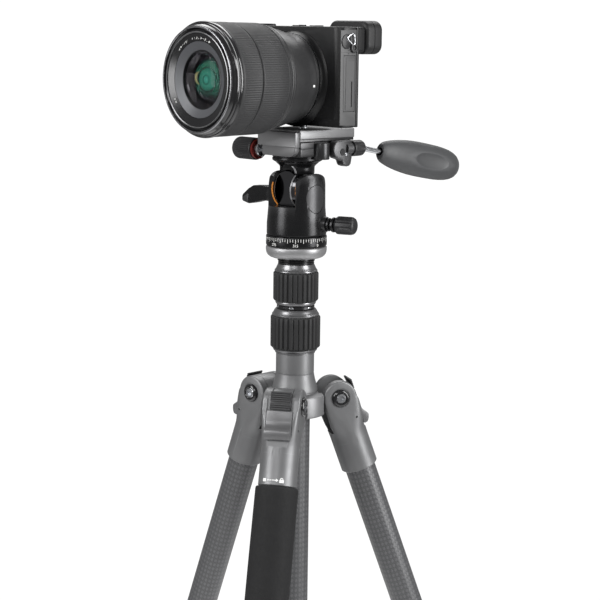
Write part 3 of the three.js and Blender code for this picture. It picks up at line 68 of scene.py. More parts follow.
eye = column_axis + toward * VIEW_DISTANCE + rightward * VIEW_SIDE + Vector((0, 0, VIEW_HEIGHT))
turn = (
    Matrix.Rotation(VIEW_BEARING, 4, "Z")
    @ Matrix.Rotation(pi / 2 - VIEW_PITCH, 4, "X")
    @ Matrix.Rotation(VIEW_ROLL, 4, "Z")
)
bpy.ops.object.camera_add()
viewer = bpy.context.object
viewer.matrix_world = Matrix.Translation(eye) @ turn
viewer.data.lens = LENS_LENGTH
viewer.data.sensor_width = 36
bpy.context.scene.camera = viewer


def soft_box(name, bearing, distance, height, size, power):
    """A square soft box that looks at the head of the tripod."""
    aim = column_axis + Vector((0, 0, HEAD_HEIGHT))
    angle = VIEW_BEARING + radians(bearing)
    spot = column_axis + Vector((sin(angle), -cos(angle), 0)) * distance + Vector((0, 0, height))
    bpy.ops.object.light_add(type="AREA", location=spot)
    lamp = bpy.context.object
    lamp.name = name
    lamp.rotation_euler = (aim - spot).to_track_quat("-Z", "Y").to_euler()
    lamp.data.shape = "RECTANGLE"
    lamp.data.size, lamp.data.size_y = size
    lamp.data.energy = power
    lamp.visible_camera = False


soft_box("left_soft_box", -62, 1.35, 1.15, (0.7, 1.5), 24)
soft_box("right_soft_box", 66, 1.45, 0.95, (0.6, 1.5), 31)
soft_box("top_soft_box", 175, 1.0, 1.9, (1.4, 1.0), 18)
soft_box("front_soft_box", -12, 2.1, 1.7, (0.9, 0.7), 14)

world = bpy.data.worlds.new("studio_air")
bpy.context.scene.world = world
world.use_nodes = True
air = world.node_tree
seen = air.nodes["Background"]
seen.inputs["Color"].default_value = (1.0, 1.0, 1.0, 1)
seen.inputs["Strength"].default_value = 1.05
fill_light = air.nodes.new("ShaderNodeBackground")
fill_light.inputs["Color"].default_value = (1.0, 1.0, 1.0, 1)
fill_light.inputs["Strength"].default_value = 0.24
ray = air.nodes.new("ShaderNodeLightPath")
either = air.nodes.new("ShaderNodeMixShader")
air.links.new(ray.outputs["Is Camera Ray"], either.inputs["Fac"])
air.links.new(fill_light.outputs["Background"], either.inputs[1])
air.links.new(seen.outputs["Background"], either.inputs[2])
air.links.new(either.outputs["Shader"], air.nodes["World Output"].inputs["Surface"])
bpy.context.scene.view_settings.view_transform = "Standard"

PAPER_RADIUS = 1.0
bpy.ops.mesh.primitive_circle_add(
    vertices=96, radius=PAPER_RADIUS, fill_type="NGON",
    location=(column_axis.x, column_axis.y, -0.0004))
floor = bpy.context.object
floor.name = "studio_floor"
paper = bpy.data.materials.new("white_paper")
paper.use_nodes = True
tree = paper.node_tree
shader = tree.nodes["Principled BSDF"]
shader.inputs["Base Color"].default_value = (0.93, 0.93, 0.93, 1)
shader.inputs["Roughness"].default_value = 0.9
shader.inputs["Specular IOR Level"].default_value = 0.1
spot = tree.nodes.new("ShaderNodeTexCoord")
reach = tree.nodes.new("ShaderNodeVectorMath")
reach.operation = "LENGTH"
tree.links.new(spot.outputs["Object"], reach.inputs[0])
rim_fade = tree.nodes.new("ShaderNodeMapRange")
rim_fade.inputs["From Min"].default_value = 0.5 * PAPER_RADIUS
rim_fade.inputs["From Max"].default_value = 0.97 * PAPER_RADIUS
tree.links.new(reach.outputs["Value"], rim_fade.inputs["Value"])
clear = tree.nodes.new("ShaderNodeBsdfTransparent")
faded = tree.nodes.new("ShaderNodeMixShader")
tree.links.new(rim_fade.outputs["Result"], faded.inputs["Fac"])
tree.links.new(shader.outputs["BSDF"], faded.inputs[1])
tree.links.new(clear.outputs["BSDF"], faded.inputs[2])
tree.links.new(faded.outputs["Shader"], tree.nodes["Material Output"].inputs["Surface"])
floor.data.materials.append(paper)

# ---- leg castings ----
# Each leg starts in a bead-blasted aluminium casting: a round barrel that the carbon tube is
# glued into, with two arched arms that straddle the crown's lug. The edges are broken.
MM = Matrix.Scale(0.001, 4)
UPRIGHT = Matrix.Rotation(pi / 2, 4, "X")  # an outline's Y becomes Z
SIDES = 64
SHARP_ANGLE = 32  # degrees: edges sharper than this are broken and shaded sharp


def let_go():
    bpy.ops.object.select_all(action="DESELECT")


def hold(piece):
    let_go()
    bpy.context.view_layer.objects.active = piece
    piece.select_set(True)


def settle(piece, place):
    """Puts the piece at its place, and leaves that place in its mesh."""
    hold(piece)
    piece.matrix_world = place
    bpy.ops.object.transform_apply(location=True, rotation=True, scale=True)
    return piece


def close_up():
    """In edit mode: doubles are merged and the faces are turned outwards."""
    bpy.ops.mesh.select_all(action="SELECT")
    bpy.ops.mesh.remove_doubles(threshold=0.0005)
    bpy.ops.mesh.normals_make_consistent(inside=False)
    bpy.ops.object.mode_set(mode="OBJECT")


def turned(name, rings, sides=SIDES, hollow=False):
    """A turned piece from [radius, height] rings, up the outside and then down a bore."""
    radius, height = rings[0]
    let_go()
    bpy.ops.mesh.primitive_circle_add(vertices=sides, radius=radius, location=(0, 0, height))
    piece = bpy.context.object
    piece.name = name
    bpy.ops.object.transform_apply(location=True, rotation=False, scale=False)
    bpy.ops.object.mode_set(mode="EDIT")
    bpy.ops.mesh.select_all(action="SELECT")
    for wide, tall in rings[1:]:
        bpy.ops.mesh.extrude_region_move(TRANSFORM_OT_translate={"value": (0, 0, tall - height)})
        ratio = wide / radius
        if abs(ratio - 1) > 1e-6:
            bpy.ops.transform.resize(value=(ratio, ratio, 1), center_override=(0, 0, tall))
        radius, height = wide, tall
    bpy.ops.mesh.select_mode(type="EDGE")
    bpy.ops.mesh.select_all(action="DESELECT")
    bpy.ops.mesh.select_non_manifold(extend=False, use_wire=False, use_multi_face=False)
    if hollow:
        bpy.ops.mesh.bridge_edge_loops()
    else:
        bpy.ops.mesh.fill_holes(sides=0)
    close_up()
    return piece


def arc(x, y, radius, start, end, steps=12):
    """Points round part of a circle, in degrees."""
    angles = [radians(start + (end - start) * i / steps) for i in range(steps + 1)]
    return [(x + radius * cos(angle), y + radius * sin(angle)) for angle in angles]


def rounded(x0, x1, y0, y1, radius, steps=6):
    """A rectangle with round corners."""
    return (
        arc(x1 - radius, y0 + radius, radius, -90, 0, steps)
        + arc(x1 - radius, y1 - radius, radius, 0, 90, steps)
        + arc(x0 + radius, y1 - radius, radius, 90, 180, steps)
        + arc(x0 + radius, y0 + radius, radius, 180, 270, steps)
    )


def slab(name, outline, bottom, top, edge=0.0, steps=2):
    """An outline pulled up from bottom to top, with its sharp edges rounded off."""
    let_go()
    bpy.ops.mesh.primitive_circle_add(vertices=len(outline), radius=1, fill_type="NGON")
    piece = bpy.context.object
    piece.name = name
    for corner, (x, y) in zip(piece.data.vertices, outline):
        corner.co = (x, y, bottom)
    bpy.ops.object.mode_set(mode="EDIT")
    bpy.ops.mesh.select_all(action="SELECT")
    bpy.ops.mesh.extrude_region_move(TRANSFORM_OT_translate={"value": (0, 0, top - bottom)})
    bpy.ops.mesh.select_all(action="SELECT")
    bpy.ops.mesh.normals_make_consistent(inside=False)
    if edge:
        break_edges(edge, steps)
    close_up()
    return piece


def break_edges(edge, steps):
    """In edit mode: every sharp edge is rounded."""
    bpy.ops.mesh.select_mode(type="EDGE")
    bpy.ops.mesh.select_all(action="DESELECT")
    bpy.ops.mesh.edges_select_sharp(sharpness=radians(SHARP_ANGLE))
    bpy.ops.mesh.bevel(offset=edge, segments=steps, clamp_overlap=True)


def standing(name, outline, y0, y1, edge=0.0, steps=2):
    """An outline in X and Z, with its thickness from y0 to y1."""
    return settle(slab(name, outline, -y1, -y0, edge, steps), UPRIGHT)


def brick(x0, x1, y0, y1, z0, z1, edge=0.0, steps=2):
    return slab("brick", [(x0, y0), (x1, y0), (x1, y1), (x0, y1)], z0, z1, edge, steps)


def across(radius, y0, y1, x=0.0, z=0.0, sides=24):
    """A round pin along Y."""
    return settle(turned("pin", [(radius, y0), (radius, y1)], sides),
                  Matrix.Translation((x, 0, z)) @ Matrix.Rotation(-pi / 2, 4, "X"))


def fused(piece, *parts, how="UNION"):
    """The piece with the parts joined to it, or cut from it."""
    for part in parts:
        modifier = piece.modifiers.new("fuse", "BOOLEAN")
        modifier.operation = how
        modifier.solver = "EXACT"
        modifier.object = part
        hold(piece)
        bpy.ops.object.modifier_apply(modifier=modifier.name)
        bpy.data.objects.remove(part)
    return piece


def cut(piece, *tools):
    return fused(piece, *tools, how="DIFFERENCE")


def copied(piece, name, place):
    """A copy with its own mesh, moved on from the piece's own place."""
    hold(piece)
    bpy.ops.object.duplicate(linked=False)
    twin = bpy.context.object
    twin.name = name
    return settle(twin, place)


def joined(name, *parts):
    """Loose parts as one piece."""
    hold(parts[0])
    for part in parts[1:]:
        part.select_set(True)
    bpy.ops.object.join()
    piece = bpy.context.object
    piece.name = name
    return piece


def add_node(tree, kind, **settings):
    node = tree.nodes.new(kind)
    for name, value in settings.items():
        setattr(node, name, value)
    return node


def finish(name, colour, roughness, metal=0.0, tone=0.12, mottle=70.0, grain=1500.0,
           bump=0.25, depth=0.03, gloss=0.08, coat=0.0, worn=0.0, shine=0.5, kind="NOISE"):
    """A surface with mottled colour and gloss, a fine grain, and edges rubbed lighter."""
    paint = bpy.data.materials.new(name)
    paint.use_nodes = True
    tree = paint.node_tree
    shader = tree.nodes["Principled BSDF"]
    place = add_node(tree, "ShaderNodeTexCoord")
    cloud = add_node(tree, "ShaderNodeTexNoise")
    cloud.inputs["Scale"].default_value = mottle
    cloud.inputs["Detail"].default_value = 5
    tree.links.new(place.outputs["Object"], cloud.inputs["Vector"])
    shade = add_node(tree, "ShaderNodeMix", data_type="RGBA")
    shade.inputs[6].default_value = (*[c * (1 - tone) for c in colour], 1)
    shade.inputs[7].default_value = (*[min(1, c * (1 + tone)) for c in colour], 1)
    tree.links.new(cloud.outputs["Fac"], shade.inputs["Factor"])
    tinted = shade.outputs[2]
    if worn:
        shape = add_node(tree, "ShaderNodeNewGeometry")
        rub = add_node(tree, "ShaderNodeMapRange")
        rub.inputs["From Min"].default_value = 0.52
        rub.inputs["From Max"].default_value = 0.62
        rub.inputs["To Max"].default_value = worn
        tree.links.new(shape.outputs["Pointiness"], rub.inputs["Value"])
        bare = add_node(tree, "ShaderNodeMix", data_type="RGBA")
        bare.inputs[7].default_value = (*[min(1, c * 2.2 + 0.05) for c in colour], 1)
        tree.links.new(rub.outputs["Result"], bare.inputs["Factor"])
        tree.links.new(tinted, bare.inputs[6])
        tinted = bare.outputs[2]
    tree.links.new(tinted, shader.inputs["Base Color"])
    haze = add_node(tree, "ShaderNodeTexNoise")
    haze.inputs["Scale"].default_value = mottle * 3.1
    haze.inputs["Detail"].default_value = 4
    tree.links.new(place.outputs["Object"], haze.inputs["Vector"])
    sheen = add_node(tree, "ShaderNodeMapRange")
    sheen.inputs["To Min"].default_value = max(0.02, roughness - gloss)
    sheen.inputs["To Max"].default_value = min(1.0, roughness + gloss)
    tree.links.new(haze.outputs["Fac"], sheen.inputs["Value"])
    tree.links.new(sheen.outputs["Result"], shader.inputs["Roughness"])
    if kind == "NOISE":
        grit = add_node(tree, "ShaderNodeTexNoise")
        grit.inputs["Detail"].default_value = 3
        height = grit.outputs["Fac"]
    else:
        grit = add_node(tree, "ShaderNodeTexVoronoi", feature="SMOOTH_F1")
        height = grit.outputs["Distance"]
    grit.inputs["Scale"].default_value = grain
    tree.links.new(place.outputs["Object"], grit.inputs["Vector"])
    bumps = add_node(tree, "ShaderNodeBump")
    bumps.inputs["Strength"].default_value = bump
    bumps.inputs["Distance"].default_value = depth / 1000
    tree.links.new(height, bumps.inputs["Height"])
    tree.links.new(bumps.outputs["Normal"], shader.inputs["Normal"])
    shader.inputs["Metallic"].default_value = metal
    shader.inputs["Specular IOR Level"].default_value = shine
    shader.inputs["Coat Weight"].default_value = coat
    shader.inputs["Coat Roughness"].default_value = 0.12
    return paint


def dressed(piece, paint, body, slot, *nodes, smooth=SHARP_ANGLE):
    """Gives a finished piece its material, its shading and its body. The slot is not used."""
    piece.data.name = piece.name
    piece.data.materials.clear()
    piece.data.materials.append(paint)
    hold(piece)
    bpy.ops.object.shade_smooth_by_angle(angle=radians(smooth))
    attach(piece, body)
    if nodes:
        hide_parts(*nodes)
    return piece


LEG_SIDES = "abc"


def leg_place(side):
    """From a leg's own axes to the frame: the pivot is the origin and +X faces outwards."""
    fold = joints[f"leg_{side}_fold"]
    cross = Vector(fold["axis"]).normalized()
    up = Vector(joints[f"leg_{side}_extend"]["axis"]).normalized()
    out = cross.cross(up)
    turned_in = Matrix((out, cross, up)).transposed().to_4x4()
    return Matrix.Translation(fold["pos_m"]) @ turned_in @ MM


leg_places = {side: leg_place(side) for side in LEG_SIDES}


def on_each_leg(*models):
    """Sets a copy of each model on the three legs, then takes the models away."""
    for side in LEG_SIDES:
        leg = f"leg_{side}"
        for model, name, paint, body, slot, node in models:
            piece = copied(model, f"{leg}_{name}", leg_places[side])
            dressed(piece, paint, leg + body, slot, f"{leg}_{node}")
    for model, *_ in models:
        bpy.data.objects.remove(model)


grey_casting = finish("blasted_grey", (0.150, 0.151, 0.154), 0.44, metal=0.55, tone=0.07,
                      grain=2600, bump=0.35, depth=0.02, worn=0.25)
CASTING_HALF = 13.2
CASTING_END = -56.0
LUG_RADIUS = 12.0
FORK_HALF = 7.5
FORK_FLOOR = -24.6

arms = standing(
    "leg_casting",
    [(-LUG_RADIUS, 0), (-12.6, -18), (-CASTING_HALF + 0.1, -34), (CASTING_HALF - 0.1, -34),
     (CASTING_HALF - 0.1, -27), (12.6, -6)] + arc(0, 0, LUG_RADIUS, -10, 178, 30),
    -CASTING_HALF, CASTING_HALF, 1.3, 3)
envelope = turned("envelope", [(CASTING_HALF + 0.02, z) for z in
                               (-36, -33, -30, -27, -24, -20, -16, -12, -8, -4, 0, 6, 14)], 112)
for corner in envelope.data.vertices:
    x, y, z = corner.co
    squareness = 2 + 12 * max(0.0, min(1.0, (z + 31) / 33)) ** 2
    turn_at = atan2(y, x)
    span = (abs(cos(turn_at)) ** squareness + abs(sin(turn_at)) ** squareness) ** (1 / squareness)
    corner.co.x, corner.co.y = x / span, y / span
arms = fused(arms, envelope, how="INTERSECT")
barrel = turned("barrel", [
    (11.2, CASTING_END), (12.6, CASTING_END), (CASTING_HALF, CASTING_END + 0.6),
    (CASTING_HALF, -38), (CASTING_HALF, -32), (12.9, -31), (10.0, -29)], 112)
casting = cut(
    fused(arms, barrel),
    brick(-20, 20, -FORK_HALF, FORK_HALF, FORK_FLOOR, 20),
    turned("socket", [(11.2, -60), (11.2, -36)], 48),
    across(3.3, -16, 16),
    across(7.0, -16, -CASTING_HALF + 0.35, 0, 0, 40),
    across(7.0, CASTING_HALF - 0.35, 16, 0, 0, 40),
    across(0.8, -16, -CASTING_HALF + 1.5, 6.6, -17.5, 16),
    across(0.8, CASTING_HALF - 1.5, 16, 6.6, -17.5, 16),
    brick(11.2, 20, -9.5, 9.5, -29.8, 24),
)
on_each_leg((casting, "casting_body", grey_casting, "", "grey_casting", "casting"))

# ---- lock marks ----
# White marks printed round the front of the casting show which way the leg's twist lock
# closes: an open block, an arrow and a padlock.
SIDEWAYS = Matrix(((0, 0, 1, 0), (1, 0, 0, 0), (0, 1, 0, 0), (0, 0, 0, 1)))  # outline X, Y to Y, Z
MARK_HEIGHT = -52.4
DASH = [(-0.7, -0.3), (0.7, -0.3), (0.7, 0.3), (-0.7, 0.3)]
marks = []
for turn_deg, outline in (
        (-29, [(-1.3, -1.1), (1.3, -1.1), (1.3, 1.1), (-1.3, 1.1)]),
        (-17, DASH),
        (-9, DASH),
        (-1, DASH),
        (8, [(-1.1, -0.35), (0.1, -0.35), (0.1, -1.2), (1.7, 0), (0.1, 1.2), (0.1, 0.35),
             (-1.1, 0.35)]),
        (25, [(-1.6, -1.5), (1.6, -1.5), (1.6, 0.5), (1.1, 0.5), (1.1, 1.2), (0.6, 1.8), (-0.6, 1.8),
              (-1.1, 1.2), (-1.1, 0.5), (-0.55, 0.5), (-0.55, 1.0), (-0.3, 1.25), (0.3, 1.25),
              (0.55, 1.0), (0.55, 0.5), (-1.6, 0.49)])):
    mark = slab("mark", outline, CASTING_HALF - 0.12, CASTING_HALF + 0.03)
    settle(mark, SIDEWAYS)
    marks.append(settle(mark, Matrix.Rotation(radians(turn_deg), 4, "Z")
                        @ Matrix.Translation((0, 0, MARK_HEIGHT))))
marks = joined("lock_marks", *marks)
settle(marks, leg_places["a"])
white_print = finish("white_print", (0.74, 0.74, 0.73), 0.6, tone=0.05, grain=2500, bump=0.1,
                     depth=0.01)
dressed(marks, white_print, "leg_a", "grey_casting", "leg_a_casting")

# ---- pivot bolts ----
# A shoulder bolt goes through the arms and the lug. Each end shows a glossy black domed
# washer-head with a bright hexagon socket let into it.
gloss_black = finish("glossy_black", (0.010, 0.010, 0.011), 0.16, metal=0.35, tone=0.25,
                     grain=900, bump=0.05, depth=0.01, gloss=0.05, coat=0.5, worn=0.3)
bright_steel = finish("bright_steel", (0.55, 0.56, 0.58), 0.22, metal=1.0, tone=0.08,
                      grain=1200, bump=0.08, depth=0.01, gloss=0.07)
HEAD_RADIUS = 6.3
head_ring = turned("bolt_head", [
    (3.5, 0.1), (HEAD_RADIUS, 0.1), (HEAD_RADIUS, 0.8), (6.0, 1.5), (5.3, 2.15), (4.6, 2.4),
    (4.0, 2.35), (3.6, 2.0), (3.5, 1.6),
], 48, hollow=True)
socket = cut(
    turned("bolt_socket", [(3.45, 0.1), (3.45, 1.9), (3.2, 2.15), (2.7, 2.2)], 36),
    turned("hexagon", [(2.15, 0.5), (2.15, 4)], 6),
)
shank = turned("bolt_shank", [(2.9, -13), (2.9, 13)], 32)
shank = settle(shank, Matrix.Rotation(pi / 2, 4, "X"))
for side in LEG_SIDES:
    ends = []
    cores = []
    for end, tilt in ((1, -pi / 2), (-1, pi / 2)):
        seat = (leg_places[side] @ Matrix.Translation((0, end * (CASTING_HALF - 0.3), 0))
                @ Matrix.Rotation(tilt, 4, "X"))
        ends.append(copied(head_ring, "end", seat))
        cores.append(copied(socket, "core", seat))
    heads = joined(f"leg_{side}_bolt_heads", *ends, copied(shank, "shank", leg_places[side]))
    dressed(heads, gloss_black, f"leg_{side}", "black_metal", f"leg_{side}_pivot_bolt")
    cores = joined(f"leg_{side}_bolt_sockets", *cores)
    dressed(cores, bright_steel, f"leg_{side}", "bright_steel", f"leg_{side}_pivot_bolt")
for part in (head_ring, socket, shank):
    bpy.data.objects.remove(part)

# ---- angle latches ----
# A spring latch sits in each casting's outer face: a folded grey plate with a rolled finger
# lip, under two black ribbed bars. Pulled down along the leg, it clears the stop.
grey_plate = finish("latch_grey", (0.115, 0.115, 0.118), 0.42, metal=0.5, tone=0.06,
                    grain=2200, bump=0.25, depth=0.015, worn=0.3)
black_plastic = finish("moulded_black", (0.012, 0.012, 0.013), 0.42, tone=0.2, shine=0.35,
                       grain=1500, bump=0.3, depth=0.02, worn=0.25)
LATCH_HALF = 9.1
latch_plate = standing("latch_plate", [
    (11.5, -5.1), (11.5, -25.5), (13.6, -25.5), (14.9, -24.4), (15.9, -22.6), (16.5, -20.8),
    (16.5, -19.7), (15.9, -18.7), (14.9, -17.4), (13.7, -15.6), (13.2, -14.0), (13.0, -12.0),
    (13.2, -11.2), (13.2, -5.6), (12.8, -5.1),
], -LATCH_HALF, LATCH_HALF, 0.35, 2)
latch_bars = []
for foot, top, proud in ((-4.6, -0.3, 13.25), (1.0, 8.0, 13.3)):
    count = 3 if top < 0 else 5
    pitch = (top - foot) / count
    bar = [(12.35, foot)]
    for i in range(count):
        bar += [(proud - 0.45, foot + pitch * i), (proud, foot + pitch * (i + 0.2)),
                (proud, foot + pitch * (i + 0.8)), (proud - 0.45, foot + pitch * (i + 0.97))]
    bar.append((12.35, top))
    latch_bars.append(standing("bar", bar, -7.1, 7.1))
backing = standing("backing", [
    (11.6, -6), (12.9, -6), (12.75, 7.6), (11.8, 8.1), (12.32, 4), (12.32, 0), (11.95, -3),
], -7.0, 7.0, 0.1)
latch_bars = joined("latch_bars", *latch_bars, backing)
on_each_leg((latch_plate, "latch_plate", grey_plate, "_latch", "grey_plate", "angle_latch"),
            (latch_bars, "latch_bars", black_plastic, "_latch", "black_plastic", "angle_latch"))

# ---- carbon leg tubes ----
# Roll-wrapped carbon tube: the outer ply is a woven cloth laid on the bias, under clear
# lacquer, so its threads show as a lattice of low diamonds that runs along the tube.
TUBE_RADIUS = 10.9
UPPER_TOP = -36.3
UPPER_FOOT = -316.3
LOWER_RADIUS = 9.4
LOWER_TOP = -266.3
LOWER_FOOT = -541.0
LEG_LENGTH = 560.0


def carbon(name, place, radius, cell=2.1):
    """Bias-laid carbon cloth under lacquer, wound round the piece's own axis."""
    paint = bpy.data.materials.new(name)
    paint.use_nodes = True
    tree = paint.node_tree
    shader = tree.nodes["Principled BSDF"]

    def sum_of(kind, first, second=None, third=None):
        node = add_node(tree, "ShaderNodeMath", operation=kind)
        for socket, value in zip(node.inputs, (first, second, third)):
            if isinstance(value, (int, float)):
                socket.default_value = value
            elif value is not None:
                tree.links.new(value, socket)
        return node.outputs[0]

    spot = add_node(tree, "ShaderNodeTexCoord")
    local = add_node(tree, "ShaderNodeMapping", vector_type="POINT")
    back = place.inverted()
    local.inputs["Location"].default_value = back.to_translation()
    local.inputs["Rotation"].default_value = back.to_euler("XYZ")
    local.inputs["Scale"].default_value = back.to_scale()
    tree.links.new(spot.outputs["Object"], local.inputs["Vector"])
    parts = add_node(tree, "ShaderNodeSeparateXYZ")
    tree.links.new(local.outputs["Vector"], parts.inputs["Vector"])
    round_count = max(8, round(2 * pi * radius / (cell * sqrt(2)) / 2) * 2)
    angle = sum_of("ARCTAN2", parts.outputs["Y"], parts.outputs["X"])
    along = sum_of("MULTIPLY", angle, round_count / (2 * pi))
    height = sum_of("MULTIPLY", parts.outputs["Z"], 1 / (cell * 1.75))
    warp = sum_of("ADD", along, height)
    weft = sum_of("SUBTRACT", along, height)
    over = sum_of("PINGPONG", sum_of("ADD", sum_of("FLOOR", warp), sum_of("FLOOR", weft)), 1)
    ridge_a = sum_of("SINE", sum_of("MULTIPLY", sum_of("FRACT", warp), pi))
    ridge_b = sum_of("SINE", sum_of("MULTIPLY", sum_of("FRACT", weft), pi))
    bed = add_node(tree, "ShaderNodeMix", data_type="FLOAT")
    tree.links.new(over, bed.inputs["Factor"])
    tree.links.new(ridge_a, bed.inputs[2])
    tree.links.new(ridge_b, bed.inputs[3])
    threads = add_node(tree, "ShaderNodeTexNoise")
    threads.inputs["Scale"].default_value = 900
    threads.inputs["Detail"].default_value = 4
    tree.links.new(spot.outputs["Object"], threads.inputs["Vector"])
    fuzz = sum_of("MULTIPLY_ADD", threads.outputs["Fac"], 0.35, bed.outputs[0])
    shade = add_node(tree, "ShaderNodeMix", data_type="RGBA")
    shade.inputs[6].default_value = (0.040, 0.040, 0.042, 1)
    shade.inputs[7].default_value = (0.105, 0.106, 0.110, 1)
    tone = sum_of("MULTIPLY_ADD", over, 0.45, sum_of("MULTIPLY", fuzz, 0.42))
    tree.links.new(tone, shade.inputs["Factor"])
    tree.links.new(shade.outputs[2], shader.inputs["Base Color"])
    gloss = add_node(tree, "ShaderNodeMapRange")
    gloss.inputs["To Min"].default_value = 0.34
    gloss.inputs["To Max"].default_value = 0.50
    tree.links.new(threads.outputs["Fac"], gloss.inputs["Value"])
    tree.links.new(gloss.outputs["Result"], shader.inputs["Roughness"])
    bumps = add_node(tree, "ShaderNodeBump")
    bumps.inputs["Strength"].default_value = 0.5
    bumps.inputs["Distance"].default_value = 0.00015
    tree.links.new(fuzz, bumps.inputs["Height"])
    tree.links.new(bumps.outputs["Normal"], shader.inputs["Normal"])
    shader.inputs["Metallic"].default_value = 0.25
    shader.inputs["Coat Weight"].default_value = 0.25
    shader.inputs["Coat Roughness"].default_value = 0.3
    return paint


upper_tube = turned("upper_tube", [
    (9.7, UPPER_FOOT), (10.7, UPPER_FOOT), (TUBE_RADIUS, UPPER_FOOT + 0.3),
    (TUBE_RADIUS, UPPER_TOP - 0.3), (10.7, UPPER_TOP), (9.7, UPPER_TOP),
], 72, hollow=True)
lower_tube = turned("lower_tube", [
    (8.2, LOWER_FOOT), (LOWER_RADIUS, LOWER_FOOT), (LOWER_RADIUS, LOWER_TOP - 0.3),
    (9.2, LOWER_TOP), (8.2, LOWER_TOP),
], 64, hollow=True)
for side in LEG_SIDES:
    cloth = carbon(f"carbon_leg_{side}", leg_places[side], TUBE_RADIUS)
    piece = copied(upper_tube, f"leg_{side}_upper_carbon", leg_places[side])
    dressed(piece, cloth, f"leg_{side}", "carbon_weave", f"leg_{side}_upper_tube")
    piece = copied(lower_tube, f"leg_{side}_lower_carbon", leg_places[side])
    dressed(piece, cloth, f"leg_{side}_lower", "carbon_weave", f"leg_{side}_lower_tube")
for part in (upper_tube, lower_tube):
    bpy.data.objects.remove(part)

# ---- leg twist locks ----
# A moulded rubber sleeve with cut grip ribs on a threaded nut. Bright turned collars close
# it above and below, and a quarter turn frees the lower tube.
black_rubber = finish("ribbed_rubber", (0.014, 0.014, 0.0145), 0.60, tone=0.18, shine=0.28,
                      grain=1300, bump=0.4, depth=0.03, worn=0.35)
dark_ring = finish("turned_dark_ring", (0.20, 0.20, 0.205), 0.30, metal=0.85, tone=0.06,
                   grain=1400, bump=0.1, depth=0.01, gloss=0.06)


def ribbed(name, rings, ribs, shallow, first, last, hollow=True, duty=2):
    """A turned sleeve whose rings from first to last are pressed in between its ribs."""
    sleeve = turned(name, rings, ribs * 4, hollow)
    hold(sleeve)
    bpy.ops.object.mode_set(mode="EDIT")
    bpy.ops.mesh.select_mode(type="VERT")
    bpy.ops.mesh.select_all(action="DESELECT")
    bpy.ops.object.mode_set(mode="OBJECT")
    outermost = max(radius for radius, height in rings)
    for corner in sleeve.data.vertices:
        x, y, z = corner.co
        column = round(atan2(y, x) / (2 * pi) * ribs * 4) % 4
        corner.select = column < duty and first <= z <= last and sqrt(x * x + y * y) > outermost * 0.86
    bpy.ops.object.mode_set(mode="EDIT")
    pressed = 1 - shallow / outermost
    bpy.ops.transform.resize(value=(pressed, pressed, 1), center_override=(0, 0, 0))
    close_up()
    return sleeve


LOCK_TOP = -296.3
LOCK_FOOT = -334.3
lock = ribbed("lock", [
    (9.75, LOCK_FOOT + 3), (13.2, LOCK_FOOT + 3), (13.6, LOCK_FOOT + 4), (14.2, LOCK_FOOT + 4.6),
    (14.2, LOCK_TOP - 19), (14.2, LOCK_TOP - 6), (13.6, LOCK_TOP - 5.4), (13.2, LOCK_TOP - 4.4),
    (11.3, LOCK_TOP - 4.4), (11.3, LOCK_TOP - 20.4), (9.75, LOCK_TOP - 20.4),
], 24, 0.9, LOCK_FOOT + 4.2, LOCK_TOP - 5.6)
lock_rings = joined(
    "lock_rings",
    turned("lock_collar", [(9.75, LOCK_FOOT), (12.2, LOCK_FOOT), (12.6, LOCK_FOOT + 0.4),
                           (13.2, LOCK_FOOT + 2.7), (9.75, LOCK_FOOT + 2.7)], 64, hollow=True),
    turned("lock_collar", [(11.3, LOCK_TOP - 4.1), (13.3, LOCK_TOP - 4.1), (13.2, LOCK_TOP - 2.4),
                           (12.5, LOCK_TOP), (11.3, LOCK_TOP)], 64, hollow=True),
)
on_each_leg((lock, "lock_rubber", black_rubber, "_lock", "black_rubber", "lock_sleeve"),
            (lock_rings, "lock_collars", dark_ring, "_lock", "dark_metal", "lock_sleeve"))

# ---- feet ----
# A moulded rubber foot with a waisted collar, pushed onto the tube's end. Its sole is cut
# level for the first leg angle and has a shallow tread.
FOOT_RADIUS = 13.0
foot_top = -LEG_LENGTH + 24
foot = turned("foot", [
    (11.6, -LEG_LENGTH - 8), (FOOT_RADIUS, -LEG_LENGTH - 6), (FOOT_RADIUS, -LEG_LENGTH + 6),
    (12.6, -LEG_LENGTH + 8), (11.7, -LEG_LENGTH + 9.2), (11.7, -LEG_LENGTH + 10.6),
    (12.9, -LEG_LENGTH + 11.8), (12.9, foot_top - 6.4), (12.3, foot_top - 5.4),
    (11.9, foot_top - 1), (11.4, foot_top), (9.7, foot_top), (9.7, foot_top - 6),
    (0.2, foot_top - 6),
], 56)
LEG_ANGLE = radians(20.1)  # from straight down, at the first stop
ground = settle(brick(-40, 40, -40, 40, -40, 0), Matrix.Translation((0, 0, -LEG_LENGTH))
                @ Matrix.Rotation(LEG_ANGLE, 4, "Y"))
treads = [settle(brick(-30, 30, y - 0.6, y + 0.6, -2, 0.7), Matrix.Translation((0, 0, -LEG_LENGTH))
                 @ Matrix.Rotation(LEG_ANGLE, 4, "Y")) for y in (-9, -6, -3, 0, 3, 6, 9)]
foot = cut(foot, ground, *treads)
on_each_leg((foot, "rubber_foot", black_rubber, "_lower", "black_rubber", "foot"))

